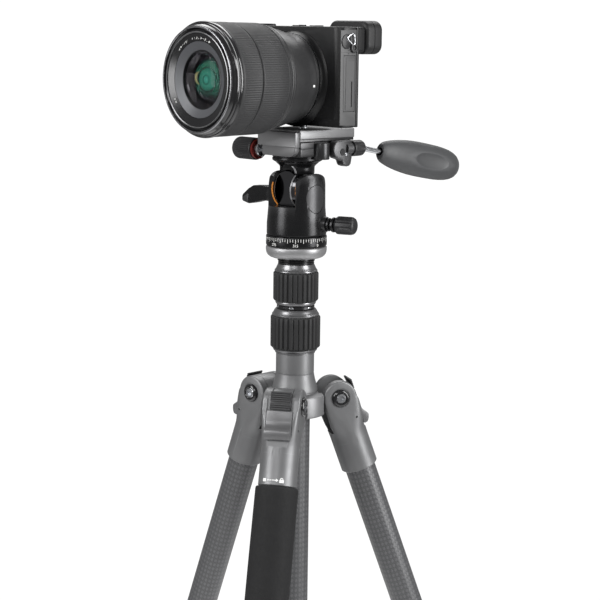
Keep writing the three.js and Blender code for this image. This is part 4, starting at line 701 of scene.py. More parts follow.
# ---- leg grip ----
# A sleeve of closed-cell foam with a leather grain, drawn over the front leg's tube.
# Its ends are trimmed square and it swells a little between them.
GRIP_TOP = -56.3
GRIP_END = -188.3
foam_black = finish("leather_grained_foam", (0.011, 0.011, 0.0115), 0.72, tone=0.22, shine=0.22,
                    mottle=160, grain=620, bump=0.75, depth=0.18, kind="VORONOI", worn=0.2)
swell = [(14.1, GRIP_END), (14.6, GRIP_END + 0.5), (14.8, GRIP_END + 1.8)]
swell += [(14.8 + 0.2 * sin(pi * i / 12), GRIP_END + 1.8 + (128.4 * i / 12)) for i in range(1, 12)]
swell += [(14.8, GRIP_TOP - 1.8), (14.6, GRIP_TOP - 0.5), (14.1, GRIP_TOP), (11.2, GRIP_TOP)]
pad = turned("leg_foam_grip", swell + [(11.2, GRIP_END)], 72, hollow=True)
settle(pad, leg_places["a"])
dressed(pad, foam_black, "leg_a", "leg_grip_foam", "leg_grip")

# ---- crown ----
# The hub is one aluminium casting, machined and blasted: a tall collar for the column, a
# round web, and three lugs that the legs hinge on. A notch in each lug stops the leg.
CROWN_WEB = 22.0
pivot_height = joints["leg_a_fold"]["pos_m"][2]


def on_axis(height):
    """The column axis, in millimetres above that height."""
    return Matrix.Translation((column_axis.x, column_axis.y, height)) @ MM


def foot_of(node):
    return on_axis(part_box(node)[0].z)


hub = turned("crown_casting", [
    (20.4, -12.0), (21.4, -11.6), (CROWN_WEB, -10.8), (CROWN_WEB, 1.6), (21.4, 2.6),
    (20.4, 3.0), (16.6, 3.4), (15.9, 3.7), (15.6, 4.0), (15.6, 4.7), (16.1, 5.0), (16.2, 5.6),
    (15.6, 8.2), (14.9, 10.8), (14.2, 13.4), (13.7, 15.8), (13.42, 17.6), (13.2, 17.8),
    (13.2, 18.2), (13.42, 18.4), (13.42, 32.0), (13.42, 58.0), (11.4, 58.0), (11.4, -12.0),
], 96, hollow=True)
LUG_HALF = 7.2
PIVOT_RADIUS = 30.0
pocket = fused(
    across(12.6, LUG_HALF, 17, PIVOT_RADIUS, 0, 48),
    brick(PIVOT_RADIUS - 12.6, PIVOT_RADIUS + 12.6, LUG_HALF, 17, -40, 0),
    across(12.6, -17, -LUG_HALF, PIVOT_RADIUS, 0, 48),
    brick(PIVOT_RADIUS - 12.6, PIVOT_RADIUS + 12.6, -17, -LUG_HALF, -40, 0),
)
lug = standing(
    "lug",
    [(12.6, -11.6), (PIVOT_RADIUS - 3, -11.7)] + arc(PIVOT_RADIUS, 0, 11.98, -100, 150, 44)
    + [(17.6, 3.6), (12.6, 3.2)],
    -LUG_HALF, LUG_HALF, 0.7, 2)


def lug_point(radius, angle):
    """A point in the lug's side view, measured from straight down along the leg."""
    at = radians(angle) + LEG_ANGLE
    return (PIVOT_RADIUS + radius * sin(at), -radius * cos(at))


lug = cut(
    lug,
    across(3.3, -20, 20, PIVOT_RADIUS, 0),
    standing("notch", [lug_point(9.3, -2), lug_point(26, -2), lug_point(26, 25),
                       lug_point(26, 51.5), lug_point(9.3, 51.5), lug_point(9.2, 34),
                       lug_point(9.2, 16)], -9, 9),
)
azimuths = {}
for side in LEG_SIDES:
    pivot = Vector(joints[f"leg_{side}_fold"]["pos_m"]) - column_axis
    azimuths[side] = atan2(pivot.y, pivot.x)
for side in LEG_SIDES:
    swing = Matrix.Rotation(azimuths[side], 4, "Z")
    hub = cut(hub, copied(pocket, "pocket", swing))
for side in LEG_SIDES:
    swing = Matrix.Rotation(azimuths[side], 4, "Z")
    hub = fused(hub, copied(lug, "lug", swing))
bpy.data.objects.remove(pocket)
bpy.data.objects.remove(lug)
settle(hub, on_axis(pivot_height))
dressed(hub, grey_casting, "crown", "grey_casting", "crown")

# ---- centre column locks ----
# Two twist locks like those on the legs, one above the other: moulded rubber with cut ribs,
# between bright turned collars. A quarter turn lets the column slide.
lower_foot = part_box("column_lock_sleeve")[0].z
sleeve = ribbed("column_lock_rubber", [
    (14.1, 3.3), (15.9, 3.3), (16.6, 3.9), (17.3, 4.5), (17.45, 5.0), (17.45, 9.6), (17.45, 20.4),
    (17.45, 25.0), (17.3, 25.5), (16.7, 26.1), (16.1, 26.4), (14.1, 26.4),
], 30, 0.85, 4.4, 25.6, duty=1)
settle(sleeve, on_axis(lower_foot))
dressed(sleeve, black_rubber, "column_lock", "black_rubber", "column_lock_sleeve")
rings = joined(
    "column_lock_collars",
    turned("foot_collar", [
        (14.05, 0.0), (14.1, 0.9), (14.5, 1.1), (15.1, 1.6), (15.5, 2.3), (15.5, 2.9), (15.2, 3.2),
        (14.05, 3.2)], 96, hollow=True),
    turned("top_collar", [
        (14.05, 26.5), (16.3, 26.5), (16.5, 26.9), (16.45, 27.5), (16.1, 27.8), (15.9, 27.9),
        (15.9, 28.2), (15.6, 28.5), (15.0, 29.8), (14.2, 30.9), (13.9, 31.15), (11.4, 31.15),
        (11.4, 30.2), (14.05, 28.0)], 96, hollow=True),
)
settle(rings, on_axis(lower_foot))
dressed(rings, dark_ring, "column_lock", "dark_metal", "column_lock_sleeve")

upper_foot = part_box("upper_column_lock_sleeve")[0].z
sleeve = ribbed("upper_column_lock_rubber", [
    (12.3, 2.6), (14.6, 2.6), (15.2, 3.1), (15.65, 3.6), (15.8, 4.1), (15.8, 8.4), (15.8, 17.6),
    (15.8, 21.9), (15.6, 22.4), (15.1, 22.9), (14.6, 23.2), (12.3, 23.2),
], 28, 0.85, 3.5, 22.5, duty=1)
settle(sleeve, on_axis(upper_foot))
dressed(sleeve, black_rubber, "upper_column_lock", "black_rubber", "upper_column_lock_sleeve")
rings = joined(
    "upper_column_lock_collars",
    turned("foot_collar", [
        (12.3, 0.0), (13.2, 0.0), (13.6, 0.4), (14.1, 1.1), (14.25, 1.9), (14.1, 2.4), (12.3, 2.5)],
        96, hollow=True),
    turned("top_collar", [
        (12.3, 23.3), (14.7, 23.3), (15.0, 23.7), (14.95, 24.3), (14.5, 24.7), (14.3, 24.8),
        (14.3, 25.1), (14.0, 25.4), (13.5, 26.6), (12.9, 27.9), (12.6, 28.6), (9.8, 28.6),
        (9.8, 24.6), (12.3, 24.4)], 96, hollow=True),
)
settle(rings, on_axis(upper_foot))
dressed(rings, dark_ring, "upper_column_lock", "dark_metal", "upper_column_lock_sleeve")

# ---- centre column ----
# Carbon tube in two sections, like the legs. The outer one ends in a dark turned neck with
# bright key slots, the inner one in a grooved neck under the head.
black_metal = finish("black_anodised", (0.014, 0.014, 0.015), 0.27, metal=0.6, shine=0.4, tone=0.15,
                     grain=1700, bump=0.12, depth=0.012, gloss=0.06, worn=0.35)
column_foot = on_axis(column_low.z)
column_length = (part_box("upper_column_lock_sleeve")[0].z - column_low.z) * 1000 - 2.9
outer = turned("column_outer_carbon", [
    (9.5, 0), (10.8, 0), (11, 0.3), (11, column_length), (9.5, column_length)], 80, hollow=True)
settle(outer, column_foot)
column_cloth = carbon("carbon_column", column_foot, 11.0)
dressed(outer, column_cloth, "column", "carbon_weave", "column_tube")
neck_foot = (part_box("upper_column_lock_sleeve")[0].z * 1000) - 2.5
neck = turned("column_neck", [
    (11.02, 0.02), (12.9, 0.02), (13.2, 0.3), (13.2, 1.9), (12.9, 2.18), (11.9, 2.2), (11.9, 25.0),
    (9.7, 25.0), (9.7, 2.2), (11.02, 1.9)], 80, hollow=True)
settle(neck, on_axis(neck_foot / 1000))
dressed(neck, black_metal, "column", "black_metal", "column_tube")
keys = []
for i in range(6):
    key = brick(12.9, 13.28, -1.5, 1.5, 0.55, 1.75, 0.12)
    keys.append(settle(key, Matrix.Rotation(radians(60 * i - 56), 4, "Z")))
keys = joined("column_neck_keys", *keys)
settle(keys, on_axis(neck_foot / 1000))
dressed(keys, bright_steel, "column", "bright_steel", "column_tube")

INNER_RADIUS = 9.2
inner_low, inner_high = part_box("inner_column")
inner_length = (inner_high.z - inner_low.z) * 1000 - 3.8
inner = turned("column_inner_carbon", [
    (7.7, 0), (9.0, 0), (INNER_RADIUS, 0.3), (INNER_RADIUS, inner_length),
    (7.7, inner_length)], 72, hollow=True)
inner_foot = on_axis(inner_low.z)
settle(inner, inner_foot)
inner_cloth = carbon("carbon_inner_column", inner_foot, INNER_RADIUS, 1.9)
dressed(inner, inner_cloth, "inner_column", "carbon_weave", "inner_column")
head_neck = turned("head_neck", [
    (9.3, 0), (12.3, 0), (12.6, 0.2), (12.6, 0.9), (12.2, 1.1), (12.2, 1.5), (12.75, 1.8),
    (13.0, 2.1), (13.0, 2.4), (12.5, 2.7), (12.5, 3.1), (13.05, 3.4), (13.05, 3.78), (0.4, 3.8),
], 80)
settle(head_neck, on_axis(inner_high.z - 0.0038))
dressed(head_neck, black_metal, "inner_column", "black_metal", "inner_column")

cap = turned("column_cap", [
    (0.5, 0.0), (6.8, 0.0), (8.8, 0.5), (10.6, 1.7), (11.5, 3.2), (11.6, 4.2), (11.6, 6.5),
    (11.2, 6.7), (9.2, 6.7), (9.2, 15.8), (8.8, 16.0), (0.5, 16.0)], 64)
hook_ring = turned("hook_recess", [(3.0, -1), (3.0, 0.9)], 40)
cap = cut(cap, hook_ring)
settle(cap, foot_of("column_end_cap"))
dressed(cap, black_plastic, "column", "black_plastic", "column_end_cap")

# ---- head base and panorama ring ----
# A turned grey dish carries the head. The black panorama ring on it is engraved with a
# five-degree scale filled with white paint, and stays put while the housing turns on it.
satin_grey = finish("turned_grey", (0.27, 0.27, 0.275), 0.40, metal=0.6, tone=0.05, grain=1900,
                    bump=0.2, depth=0.012, worn=0.2)
dish = turned("head_dish", [
    (0.5, 0.0), (15.6, 0.0), (17.0, 0.15), (18.4, 0.7), (19.6, 1.6), (20.5, 2.8), (21.0, 4.2),
    (21.2, 5.6), (21.22, 7.3), (21.0, 7.75), (20.6, 8.0), (20.2, 8.2), (8.0, 8.2), (8.0, 26),
    (0.5, 26)], 128)
settle(dish, foot_of("head_base_plate"))
dressed(dish, satin_grey, "inner_column", "grey_casting", "head_base_plate")
ring_place = foot_of("pan_ring")
scale_ring = turned("panorama_ring", [
    (8.4, 0.0), (20.5, 0.0), (20.9, 0.25), (21.1, 0.7), (21.15, 1.1), (21.15, 6.3), (21.1, 6.7),
    (20.9, 7.1), (20.5, 7.35), (8.4, 7.35)], 144, hollow=True)
settle(scale_ring, ring_place)
dressed(scale_ring, black_metal, "inner_column", "black_metal", "pan_ring")
white_fill = finish("engraved_white", (0.78, 0.78, 0.76), 0.6, tone=0.05, grain=2500, bump=0.1,
                    depth=0.005)


def lettering(words, size, depth, level="TOP_BASELINE"):
    """Figures as a thin mesh, lying in X and Y."""
    bpy.ops.object.text_add()
    sign = bpy.context.object
    sign.data.body = words
    sign.data.align_x = "CENTER"
    sign.data.align_y = level
    sign.data.size = size
    sign.data.extrude = depth
    hold(sign)
    bpy.ops.object.convert(target="MESH")
    return bpy.context.object


marks = []
TICK_COUNT = 72
for i in range(TICK_COUNT):
    long_one = i % 3 == 0
    tick = brick(21.0, 21.19, -0.14, 0.14, 3.4 if long_one else 4.4, 6.3)
    marks.append(settle(tick, Matrix.Rotation(2 * pi * i / TICK_COUNT, 4, "Z")))
for i in range(8):
    figure = lettering(str(45 * i), 2.6, 0.08)
    settle(figure, Matrix.Rotation(radians(45 * i), 4, "Z") @ Matrix.Translation((21.12, 0, 0.95))
           @ Matrix.Rotation(pi / 2, 4, "Z") @ Matrix.Rotation(pi / 2, 4, "X"))
    marks.append(figure)
marks = joined("panorama_scale", *marks)
settle(marks, ring_place)
dressed(marks, white_fill, "inner_column", "black_metal", "pan_ring")

# ---- ball housing ----
# The housing is turned from aluminium and anodised black. Two round ears hold the ball and
# a deep notch between them lets the camera drop to upright. One ear carries a plain badge.
HOUSING_TOP = 43.0
BALL_LEVEL = 31.2
NOTCH_ANGLE = radians(36.5)
NOTCH_APEX = 4.0
NOTCH_FLOOR = 20.0
LEVER_HEIGHT = 25.7
BADGE_HEIGHT = 26.5
housing_place = foot_of("head_housing")


def ball_of(radius, height=0.0, steps=28, sides=72):
    """A ball on the axis, as rings from pole to pole."""
    rings = [(radius * max(0.004, sin(pi * i / steps)), height - radius * cos(pi * i / steps))
             for i in range(steps + 1)]
    return turned("ball", rings, sides)


def badge_outline(half_width, half_height):
    """An oval, a little fuller below its middle."""
    around = [2 * pi * i / 48 for i in range(48)]
    return [(half_width * cos(a), half_height * sin(a) * (1 - 0.10 * sin(a))) for a in around]


def softened(piece, width, sharpness, segments=2):
    """The piece with every edge sharper than that many degrees rounded."""
    hold(piece)
    modifier = piece.modifiers.new("broken_edges", "BEVEL")
    modifier.width = width
    modifier.segments = segments
    modifier.limit_method = "ANGLE"
    modifier.angle_limit = radians(sharpness)
    bpy.ops.object.modifier_apply(modifier=modifier.name)
    return piece


housing = turned("ball_housing", [
    (0.5, 0.0), (20.1, 0.0), (20.5, 0.15), (20.72, 0.6), (20.75, 1.2), (20.7, 8.0), (20.3, 13.0),
    (19.8, 19.0), (19.7, 26.0), (19.6, 35.0), (19.1, 39.5), (18.4, 41.8), (17.6, HOUSING_TOP),
    (0.5, HOUSING_TOP)], 128)
ear_outline = [(-44, -1), (44, -1), (20.9, 22.2)] + arc(0, 22.2, 20.78, 2, 178, 56)
ears = settle(slab("ears", ear_outline, -44, 44), SIDEWAYS)
housing = fused(housing, ears, how="INTERSECT")
pan_axis = (Matrix.Translation((0, 0, 7.9)) @ Matrix.Rotation(radians(22), 4, "Z")
            @ Matrix.Rotation(pi / 2, 4, "Y"))
boss = settle(turned("boss", [(5.4, 12), (5.4, 22.4), (5.1, 23.1), (4.4, 23.4), (2.9, 23.4)], 40),
              pan_axis)
housing = fused(housing, boss)
reach = 44.0
spread = (reach + NOTCH_APEX) * tan(NOTCH_ANGLE)
wedge = slab("wedge", [(0, NOTCH_APEX), (-spread, -reach), (spread, -reach)], NOTCH_FLOOR, 60)
badge_place = Matrix.Translation((0, 0, BADGE_HEIGHT)) @ SIDEWAYS
badge_room = settle(slab("badge_room", badge_outline(8.6, 9.9), 18.5, 26), badge_place)
housing = cut(
    housing,
    ball_of(16.5, BALL_LEVEL),
    turned("mouth", [(14.4, BALL_LEVEL), (14.4, 37.0), (15.0, 38.0), (17.2, HOUSING_TOP + 0.2),
                     (17.2, HOUSING_TOP + 4)], 72),
    wedge,
    turned("spigot_bore", [(8.3, -1), (8.3, 11)], 40),
    badge_room,
    settle(turned("screw_bore", [(2.8, 4), (2.8, 30)], 32), pan_axis),
    settle(turned("lever_bore", [(2.9, 10), (2.9, 30)], 32),
           Matrix.Translation((0, 0, LEVER_HEIGHT)) @ Matrix.Rotation(-pi / 2, 4, "Y")),
)
settle(softened(housing, 0.45, 48), housing_place)
dressed(housing, black_metal, "pan_head", "black_metal", "head_housing")
badge = settle(slab("housing_badge", badge_outline(8.2, 9.5), 18.0, 26), badge_place)
badge_face = turned("badge_face", [(0.5, 10), (19.78, 10), (19.78, 40), (0.5, 40)], 128)
badge = fused(badge, badge_face, how="INTERSECT")
settle(badge, housing_place)
badge_and_lit_tip_grey = finish("badge_and_lit_tip_grey", (0.050, 0.050, 0.052), 0.36, metal=0.6, tone=0.12, grain=1500,
                    bump=0.2, depth=0.012)
dressed(badge, badge_and_lit_tip_grey, "pan_head", "dark_metal", "head_housing")

# ---- friction band ----
# A moulded liner of orange polymer grips the ball inside the housing. Its cut edges show down
# both walls of the notch, as two narrow curved strips.
orange = finish("orange_polymer", (0.66, 0.24, 0.035), 0.38, tone=0.10, grain=1800, bump=0.1,
                depth=0.01)
along = NOTCH_APEX * cos(NOTCH_ANGLE)
band_arc = arc(0, 0, 17.5, -40, 16, 24) + arc(0, 0, 16.55, 16, -40, 24)
bands = []
for hand in (-1, 1):
    strip = slab("strip", band_arc, -0.7, 0.5, 0.1)
    reach_way = Vector((hand * sin(NOTCH_ANGLE), -cos(NOTCH_ANGLE), 0))
    level_way = Vector((0, 0, 1))
    centre = Vector((0, NOTCH_APEX, BALL_LEVEL)) + reach_way * along
    side_way = reach_way.cross(level_way)
    basis = Matrix((reach_way, level_way, side_way)).transposed().to_4x4()
    bands.append(settle(strip, Matrix.Translation(centre) @ basis))
bands = joined("friction_band", *bands)
settle(bands, housing_place)
dressed(bands, orange, "pan_head", "orange_band", "ball_seat_ring")

# ---- ball and stem ----
# A polished, dark-plated ball with its neck and the clamp's disc. A tall arched flat is
# milled down the front of the neck and the ball, so the neck clears the notch.
polished = finish("polished_ball", (0.10, 0.10, 0.105), 0.14, metal=1.0, tone=0.08, grain=900,
                  bump=0.04, depth=0.01, gloss=0.04)
ball_low, ball_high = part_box("ball")
ball_place = on_axis((ball_low.z + ball_high.z) / 2)
FLAT_HALF = 7.6
FLAT_TOP = 11.6


def arched(half):
    """The flat's outline: straight sides under a round arch."""
    return [(half, -30)] + arc(0, FLAT_TOP, half, 0, 180, 24) + [(-half, -30)]


flat_outline = arched(FLAT_HALF)
ball = cut(ball_of(15.95), standing("flat", flat_outline, -30, -9.6),
           turned("stem_seat", [(9.0, 12.4), (9.0, 20)], 48))
ball.name = "polished_ball"
settle(ball, ball_place)
dressed(ball, polished, "ball", "polished_ball", "ball")
stem = turned("ball_neck", [
    (0.5, 11.0), (11.7, 11.0), (11.95, 11.5), (12.0, 15.0), (12.1, 15.8), (12.6, 16.6),
    (13.8, 17.7), (14.6, 18.4), (14.9, 18.9), (15.6, 19.2), (16.4, 19.6), (17.2, 20.2),
    (17.35, 20.7), (17.35, 21.8), (16.9, 22.1), (16.9, 22.6), (17.35, 22.9), (17.35, 24.9),
    (17.1, 25.15), (0.5, 25.18)], 112)
stem = cut(stem, standing("flat", flat_outline, -30, -8.4), ball_of(16.1))
settle(softened(stem, 0.4, 50), ball_place)
dressed(stem, black_metal, "clamp", "black_metal", "ball_stem")

# ---- flat rims ----
# A bright grey band round the flat's edge is a painted highlight, for the light that edge
# catches: one on the ball and one up the neck.
RIM = 0.75
rim_outline = arched(FLAT_HALF + RIM)
# Painted highlight: the band is a lighter grey than the polished ball.
rim_painted_highlight = finish("flat_rim_painted_highlight", (0.42, 0.42, 0.43), 0.30, metal=0.8, tone=0.06, grain=1500,
                  bump=0.1, depth=0.01)
ball_rim = cut(standing("rim", rim_outline, -15.9, -9.0), standing("flat", flat_outline, -30, 0))
ball_rim = fused(ball_rim, ball_of(15.99), how="INTERSECT")
ball_rim.name = "ball_flat_rim"
settle(ball_rim, ball_place)
dressed(ball_rim, rim_painted_highlight, "ball", "polished_ball", "ball")
neck_rim = cut(standing("rim", rim_outline, -11.0, -8.0), standing("flat", flat_outline, -30, 0),
               brick(-20, 20, -30, 0, -40, 11.9))
neck_room = turned("neck_room", [
    (12.06, 11.5), (12.06, 15.2), (12.2, 15.9), (12.7, 16.7), (13.9, 17.8), (14.7, 18.5),
    (15.0, 19.4)], 112)
neck_rim = fused(neck_rim, neck_room, how="INTERSECT")
neck_rim = cut(neck_rim, ball_of(16.2))
neck_rim.name = "neck_flat_rim"
settle(neck_rim, ball_place)
dressed(neck_rim, rim_painted_highlight, "clamp", "black_metal", "ball_stem")

# ---- head controls ----
# The ball is locked by a cast wing lever on the left, and the pan by a fluted knob at the
# right rear. Both are black, but the lever's end face is painted a lighter grey for the light
# it catches; each turns on its own screw.
lever_place = housing_place @ Matrix.Translation((0, 0, LEVER_HEIGHT))
wing = standing("lever_wing", [
    (-24.0, 5.0), (-33.0, 5.6), (-41.6, 5.0), (-46.5, 2.6), (-52.4, -1.8), (-53.4, -3.2),
    (-53.4, -6.0), (-52.6, -7.0), (-46.4, -8.3), (-41.0, -7.3), (-31.0, -4.8), (-24.0, -5.0),
], -3.6, 3.6, 0.9, 3)
hub = settle(turned("lever_hub", [
    (2.6, 17.8), (2.6, 20.3), (5.8, 20.3), (6.1, 20.7), (6.1, 24.9), (5.6, 25.6), (0.5, 25.8)], 56),
    Matrix.Rotation(-pi / 2, 4, "Y"))
lever = fused(hub, wing)
lever.name = "ball_lever"
settle(lever, lever_place)
dressed(lever, black_metal, "ball_lever", "black_metal", "ball_lock_lever")
# Painted light: a lighter grey cap over the lever's end face, where the light falls on it.
lit_end_face = standing("ball_lever_tip", [
    (-46.6, -0.9), (-52.6, -4.0), (-52.6, -6.2), (-46.6, -7.4)], -3.75, 3.75, 0.3)
settle(lit_end_face, lever_place)
dressed(lit_end_face, badge_and_lit_tip_grey, "ball_lever", "dark_metal", "ball_lock_lever")

knob = ribbed("pan_knob_grip", [
    (0.5, 29.8), (4.4, 29.8), (5.4, 30.4), (6.1, 31.3), (6.25, 32.2), (6.25, 36.0), (6.25, 41.2),
    (6.0, 42.4), (5.3, 43.5), (4.2, 44.2), (2.0, 44.45), (0.5, 44.45)], 9, 0.75, 32.0, 42.6,
    hollow=False, duty=1)
settle(knob, housing_place @ pan_axis)
dressed(knob, black_plastic, "pan_knob", "black_plastic", "pan_lock_knob")
knob_neck = turned("pan_knob_neck", [
    (2.45, 8.8), (2.45, 23.9), (4.5, 23.9), (4.6, 24.2), (4.6, 25.2), (4.2, 25.5), (3.1, 25.8),
    (3.1, 26.9), (4.6, 27.1), (5.1, 27.4), (5.2, 27.9), (5.2, 28.6), (4.9, 29.0), (3.7, 29.3),
    (3.7, 29.8), (0.5, 29.8)], 48)
settle(knob_neck, housing_place @ pan_axis)
dressed(knob_neck, black_metal, "pan_knob", "black_metal", "pan_lock_knob")

# ---- quick-release clamp ----
# A dovetail clamp machined from bar: the base with its fixed jaw, a front wall that stops
# the plate, and a round boss at the side. A knurled knob draws the loose jaw in.
clamp_place = foot_of("clamp_body")
CLAMP_SIDE = 19.0
JAW_TOP = 9.7
SCREW_Y, SCREW_Z = -12, 2.9
screw_line = Matrix.Translation((0, SCREW_Y, SCREW_Z)) @ Matrix.Rotation(pi / 2, 4, "Y")
clamp_grey = finish("clamp_grey", (0.14, 0.14, 0.143), 0.36, metal=0.6, tone=0.06, grain=2000,
                    bump=0.2, depth=0.012, worn=0.3)
base = slab("clamp_base", rounded(-13.9, CLAMP_SIDE, -15.7, 33, 2), 0, 5.8, 0.5)
fixed_jaw = standing("fixed_jaw", [
    (14.7, 5.3), (CLAMP_SIDE, 5.3), (CLAMP_SIDE, JAW_TOP), (12.3, JAW_TOP), (14.7, 6.1)],
    -15, 32, 0.2)
boss = cut(slab("boss", arc(CLAMP_SIDE, 4, 5.95, 0, 345, 40), -2, 9.3, 0.5),
           brick(0, 14.7, -10, 20, -5, 20))
pin = settle(turned("pin", [(2.4, 14), (2.4, 24.2), (2.1, 24.4), (0.5, 24.4)], 32),
             Matrix.Translation((0, 20, 2.6)) @ Matrix.Rotation(pi / 2, 4, "Y"))
clamp = fused(base, fixed_jaw, boss)
clamp = cut(
    clamp,
    brick(16.7, 40, 9.6, 40, -5, 12),
    settle(turned("screw_bore", [(2.1, -30), (2.1, 12)], 24), screw_line),
    *[brick(-12.99, 12, y, y + 0.7, 5.2, 7) for y in (-2, 12, 26)],
)
clamp = fused(clamp, pin)
settle(clamp, clamp_place)
black_clamp = finish("clamp_black", (0.030, 0.030, 0.031), 0.32, metal=0.7, tone=0.12, grain=1700,
                     bump=0.15, depth=0.012, worn=0.4)
dressed(clamp, black_clamp, "clamp", "dark_metal", "clamp_body")
wall = standing("clamp_stop_wall", [
    (-13.3, 0.3), (13.0, 0.3), (15.5, 1.0), (17.6, 2.6), (18.3, 4.6), (18.4, 6.5), (19.0, 6.8),
    (19.0, 16.6), (18.6, 16.9), (-18.6, 16.9), (-19.0, 16.6), (-19.0, 7.4), (-18.6, 6.9),
    (-13.3, 6.9)], -19.9, -15.8, 0.45, 3)
groove = brick(-30, 30, -21, -19.5, 6.5, 7.15)
wall = cut(wall, groove)
settle(wall, clamp_place)
dressed(wall, clamp_grey, "clamp", "grey_plate", "clamp_body")
loose_jaw = standing("clamp_loose_jaw", [
    (-19, 0.8), (-18.6, 0.4), (-14.2, 0.4), (-14.2, 6.1), (-14.7, 6.1), (-12.3, JAW_TOP),
    (-18.4, JAW_TOP), (-19, 9.2)], -15.5, 33, 0.4)
loose_jaw = cut(
    loose_jaw,
    settle(turned("screw_bore", [(2.1, -30), (2.1, -10)], 24), screw_line),
    *[brick(-20, -18.6, y, y + 1.2, -1, 12) for y in (8, 11, 14, 17, 20, 23, 26)],
)
settle(loose_jaw, clamp_place)
dressed(loose_jaw, clamp_grey, "clamp_jaw", "grey_plate", "clamp_jaw")

screw_place = (clamp_place @ Matrix.Translation((0, SCREW_Y, SCREW_Z))
               @ Matrix.Rotation(-pi / 2, 4, "Y"))
knob = ribbed("clamp_knob_grip", [
    (1.0, 28.0), (6.9, 28.0), (7.4, 28.3), (7.7, 28.9), (7.75, 29.4), (7.75, 38.0), (7.75, 45.0),
    (7.6, 45.8), (7.1, 46.6), (6.2, 47.05), (5.4, 47.1), (5.1, 46.6), (0.5, 46.5)], 36, 0.4,
    29.2, 45.2, hollow=False)
settle(knob, screw_place)
dressed(knob, black_plastic, "clamp_knob", "black_plastic", "clamp_knob")
knob_ring = turned("clamp_knob_red_ring", [
    (1.8, 25.9), (6.6, 25.9), (6.9, 26.2), (6.9, 27.6), (6.6, 27.95), (1.8, 27.95)], 64,
    hollow=True)
settle(knob_ring, screw_place)
dark_red = finish("dark_red_anodised", (0.16, 0.018, 0.014), 0.3, metal=0.6, tone=0.1, grain=1500,
                  bump=0.1, depth=0.01)
dressed(knob_ring, dark_red, "clamp_knob", "dark_metal", "clamp_knob")
spindle = turned("clamp_screw", [
    (0.5, -9), (1.5, -9), (1.8, -8.6), (1.8, 22.7), (4.6, 22.7), (4.95, 23.0), (4.95, 25.4),
    (4.6, 25.8), (0.5, 25.85)], 48)
settle(spindle, screw_place)
dressed(spindle, bright_steel, "clamp_knob", "bright_steel", "clamp_knob")

# ---- quick plate ----
# The camera's plate is milled from grey bar: a flange with broken edges over a black
# dovetail. The tripod screw's head sits in its underside.
PLATE_FRONT = -15.5
PLATE_BACK = 36.5
flange = brick(-19, 19, PLATE_FRONT, PLATE_BACK, 11.9, 18.3, 0.7, 3)
shift = Matrix.Translation((0, 5, 0))


def screw_room():
    return settle(turned("screw_room", [(7.4, 5), (7.4, 15.2)], 40), shift)


flange = cut(flange, screw_room(), settle(turned("screw_hole", [(3.3, 14), (3.3, 20)], 32), shift),
             brick(-14, 14, 0.4, 1.4, 17.9, 20))
flange.name = "plate_flange"
settle(flange, clamp_place)
plate_grey = finish("plate_grey", (0.175, 0.175, 0.178), 0.38, metal=0.55, tone=0.05, grain=2000,
                    bump=0.2, depth=0.012, worn=0.25)
dressed(flange, plate_grey, "camera", "grey_plate", "quick_plate")
dovetail = standing("plate_dovetail", [
    (-14.2, 6.45), (14.2, 6.45), (11.9, JAW_TOP), (11.9, 11.85), (-11.9, 11.85),
    (-11.9, JAW_TOP)], PLATE_FRONT + 0.3, PLATE_BACK - 0.3, 0.15)
dovetail = cut(dovetail, screw_room())
rail = brick(12.4, 18.2, PLATE_FRONT + 0.6, PLATE_BACK - 0.3, 10.1, 11.85, 0.2)
rail_twin = brick(-18.2, -12.4, PLATE_FRONT + 0.6, PLATE_BACK - 0.3, 10.1, 11.85, 0.2)
dovetail = joined("plate_dovetail", dovetail, rail, rail_twin)
settle(dovetail, clamp_place)
dressed(dovetail, black_clamp, "camera", "black_metal", "quick_plate")
tripod_screw = turned("tripod_screw", [
    (0.5, 6.8), (6.6, 6.8), (6.95, 7.2), (6.95, 14.4), (6.6, 14.8), (3, 14.9), (3, 22.6),
    (2.6, 23.3), (0.5, 23.4)], 56)
tripod_screw = cut(tripod_screw, brick(-0.8, 0.8, -8, 8, 5, 8.4))
settle(tripod_screw, clamp_place @ shift)
dressed(tripod_screw, bright_steel, "camera_screw", "bright_steel", "camera_screw")

# ---- pan handle ----
# A black cast bracket pivots on the clamp's side. A fluted collet grips the bright steel
# rod, which ends in a paddle of soft grey rubber with a thumb rest on each side.
tilt_at = Vector(joints["handle_tilt"]["pos_m"])
handle_place = Matrix.Translation(tilt_at) @ MM
ROD_X = 2.6
AXIS_SHIFT = Matrix.Translation((ROD_X, 0, 0))
SCREW_SEAT = Matrix.Translation((0, 4.2, -3.4)) @ Matrix.Rotation(pi / 2, 4, "Y")
bracket = slab("handle_bracket_casting", [
    (-6.6, 4.6), (-8.0, 2.0), (-8.6, -1), (-7.6, -3.6), (-5.4, -6), (-2.6, -6.9), (-0.6, -7.4),
    (0.2, -8.4), (0.9, -10.2), (2.0, -11.5), (4.6, -12.2), (7.0, -11.9), (8.4, -10.4),
    (9.0, -8.0), (9.4, -5.4), (9.4, 5.2), (8.2, 5.9), (6, 6.1), (-4, 5.8)], -2, 5, 0.8, 3)
bracket = settle(bracket, SIDEWAYS)
ALONG_Y = Matrix.Rotation(-pi / 2, 4, "X")
neck = settle(turned("neck", [(4.35, 4), (4.35, 15), (0.5, 15)], 40), AXIS_SHIFT @ ALONG_Y)
bracket = fused(bracket, neck)
bracket = cut(
    bracket,
    settle(turned("pin_hole", [(2.7, -10), (2.7, 3.2)], 28), Matrix.Rotation(pi / 2, 4, "Y")),
    settle(turned("rod_bore", [(2.2, 8), (2.2, 20)], 28), AXIS_SHIFT @ ALONG_Y),
    settle(turned("screw_recess", [(1.7, 4.2), (1.7, 6)], 28), SCREW_SEAT),
)
settle(bracket, handle_place)
bracket_dark = finish("cast_dark_grey", (0.060, 0.060, 0.062), 0.34, metal=0.65, tone=0.12,
                      grain=1500, bump=0.25, depth=0.015, worn=0.3)
dressed(bracket, bracket_dark, "handle_bracket", "dark_metal", "handle_bracket")
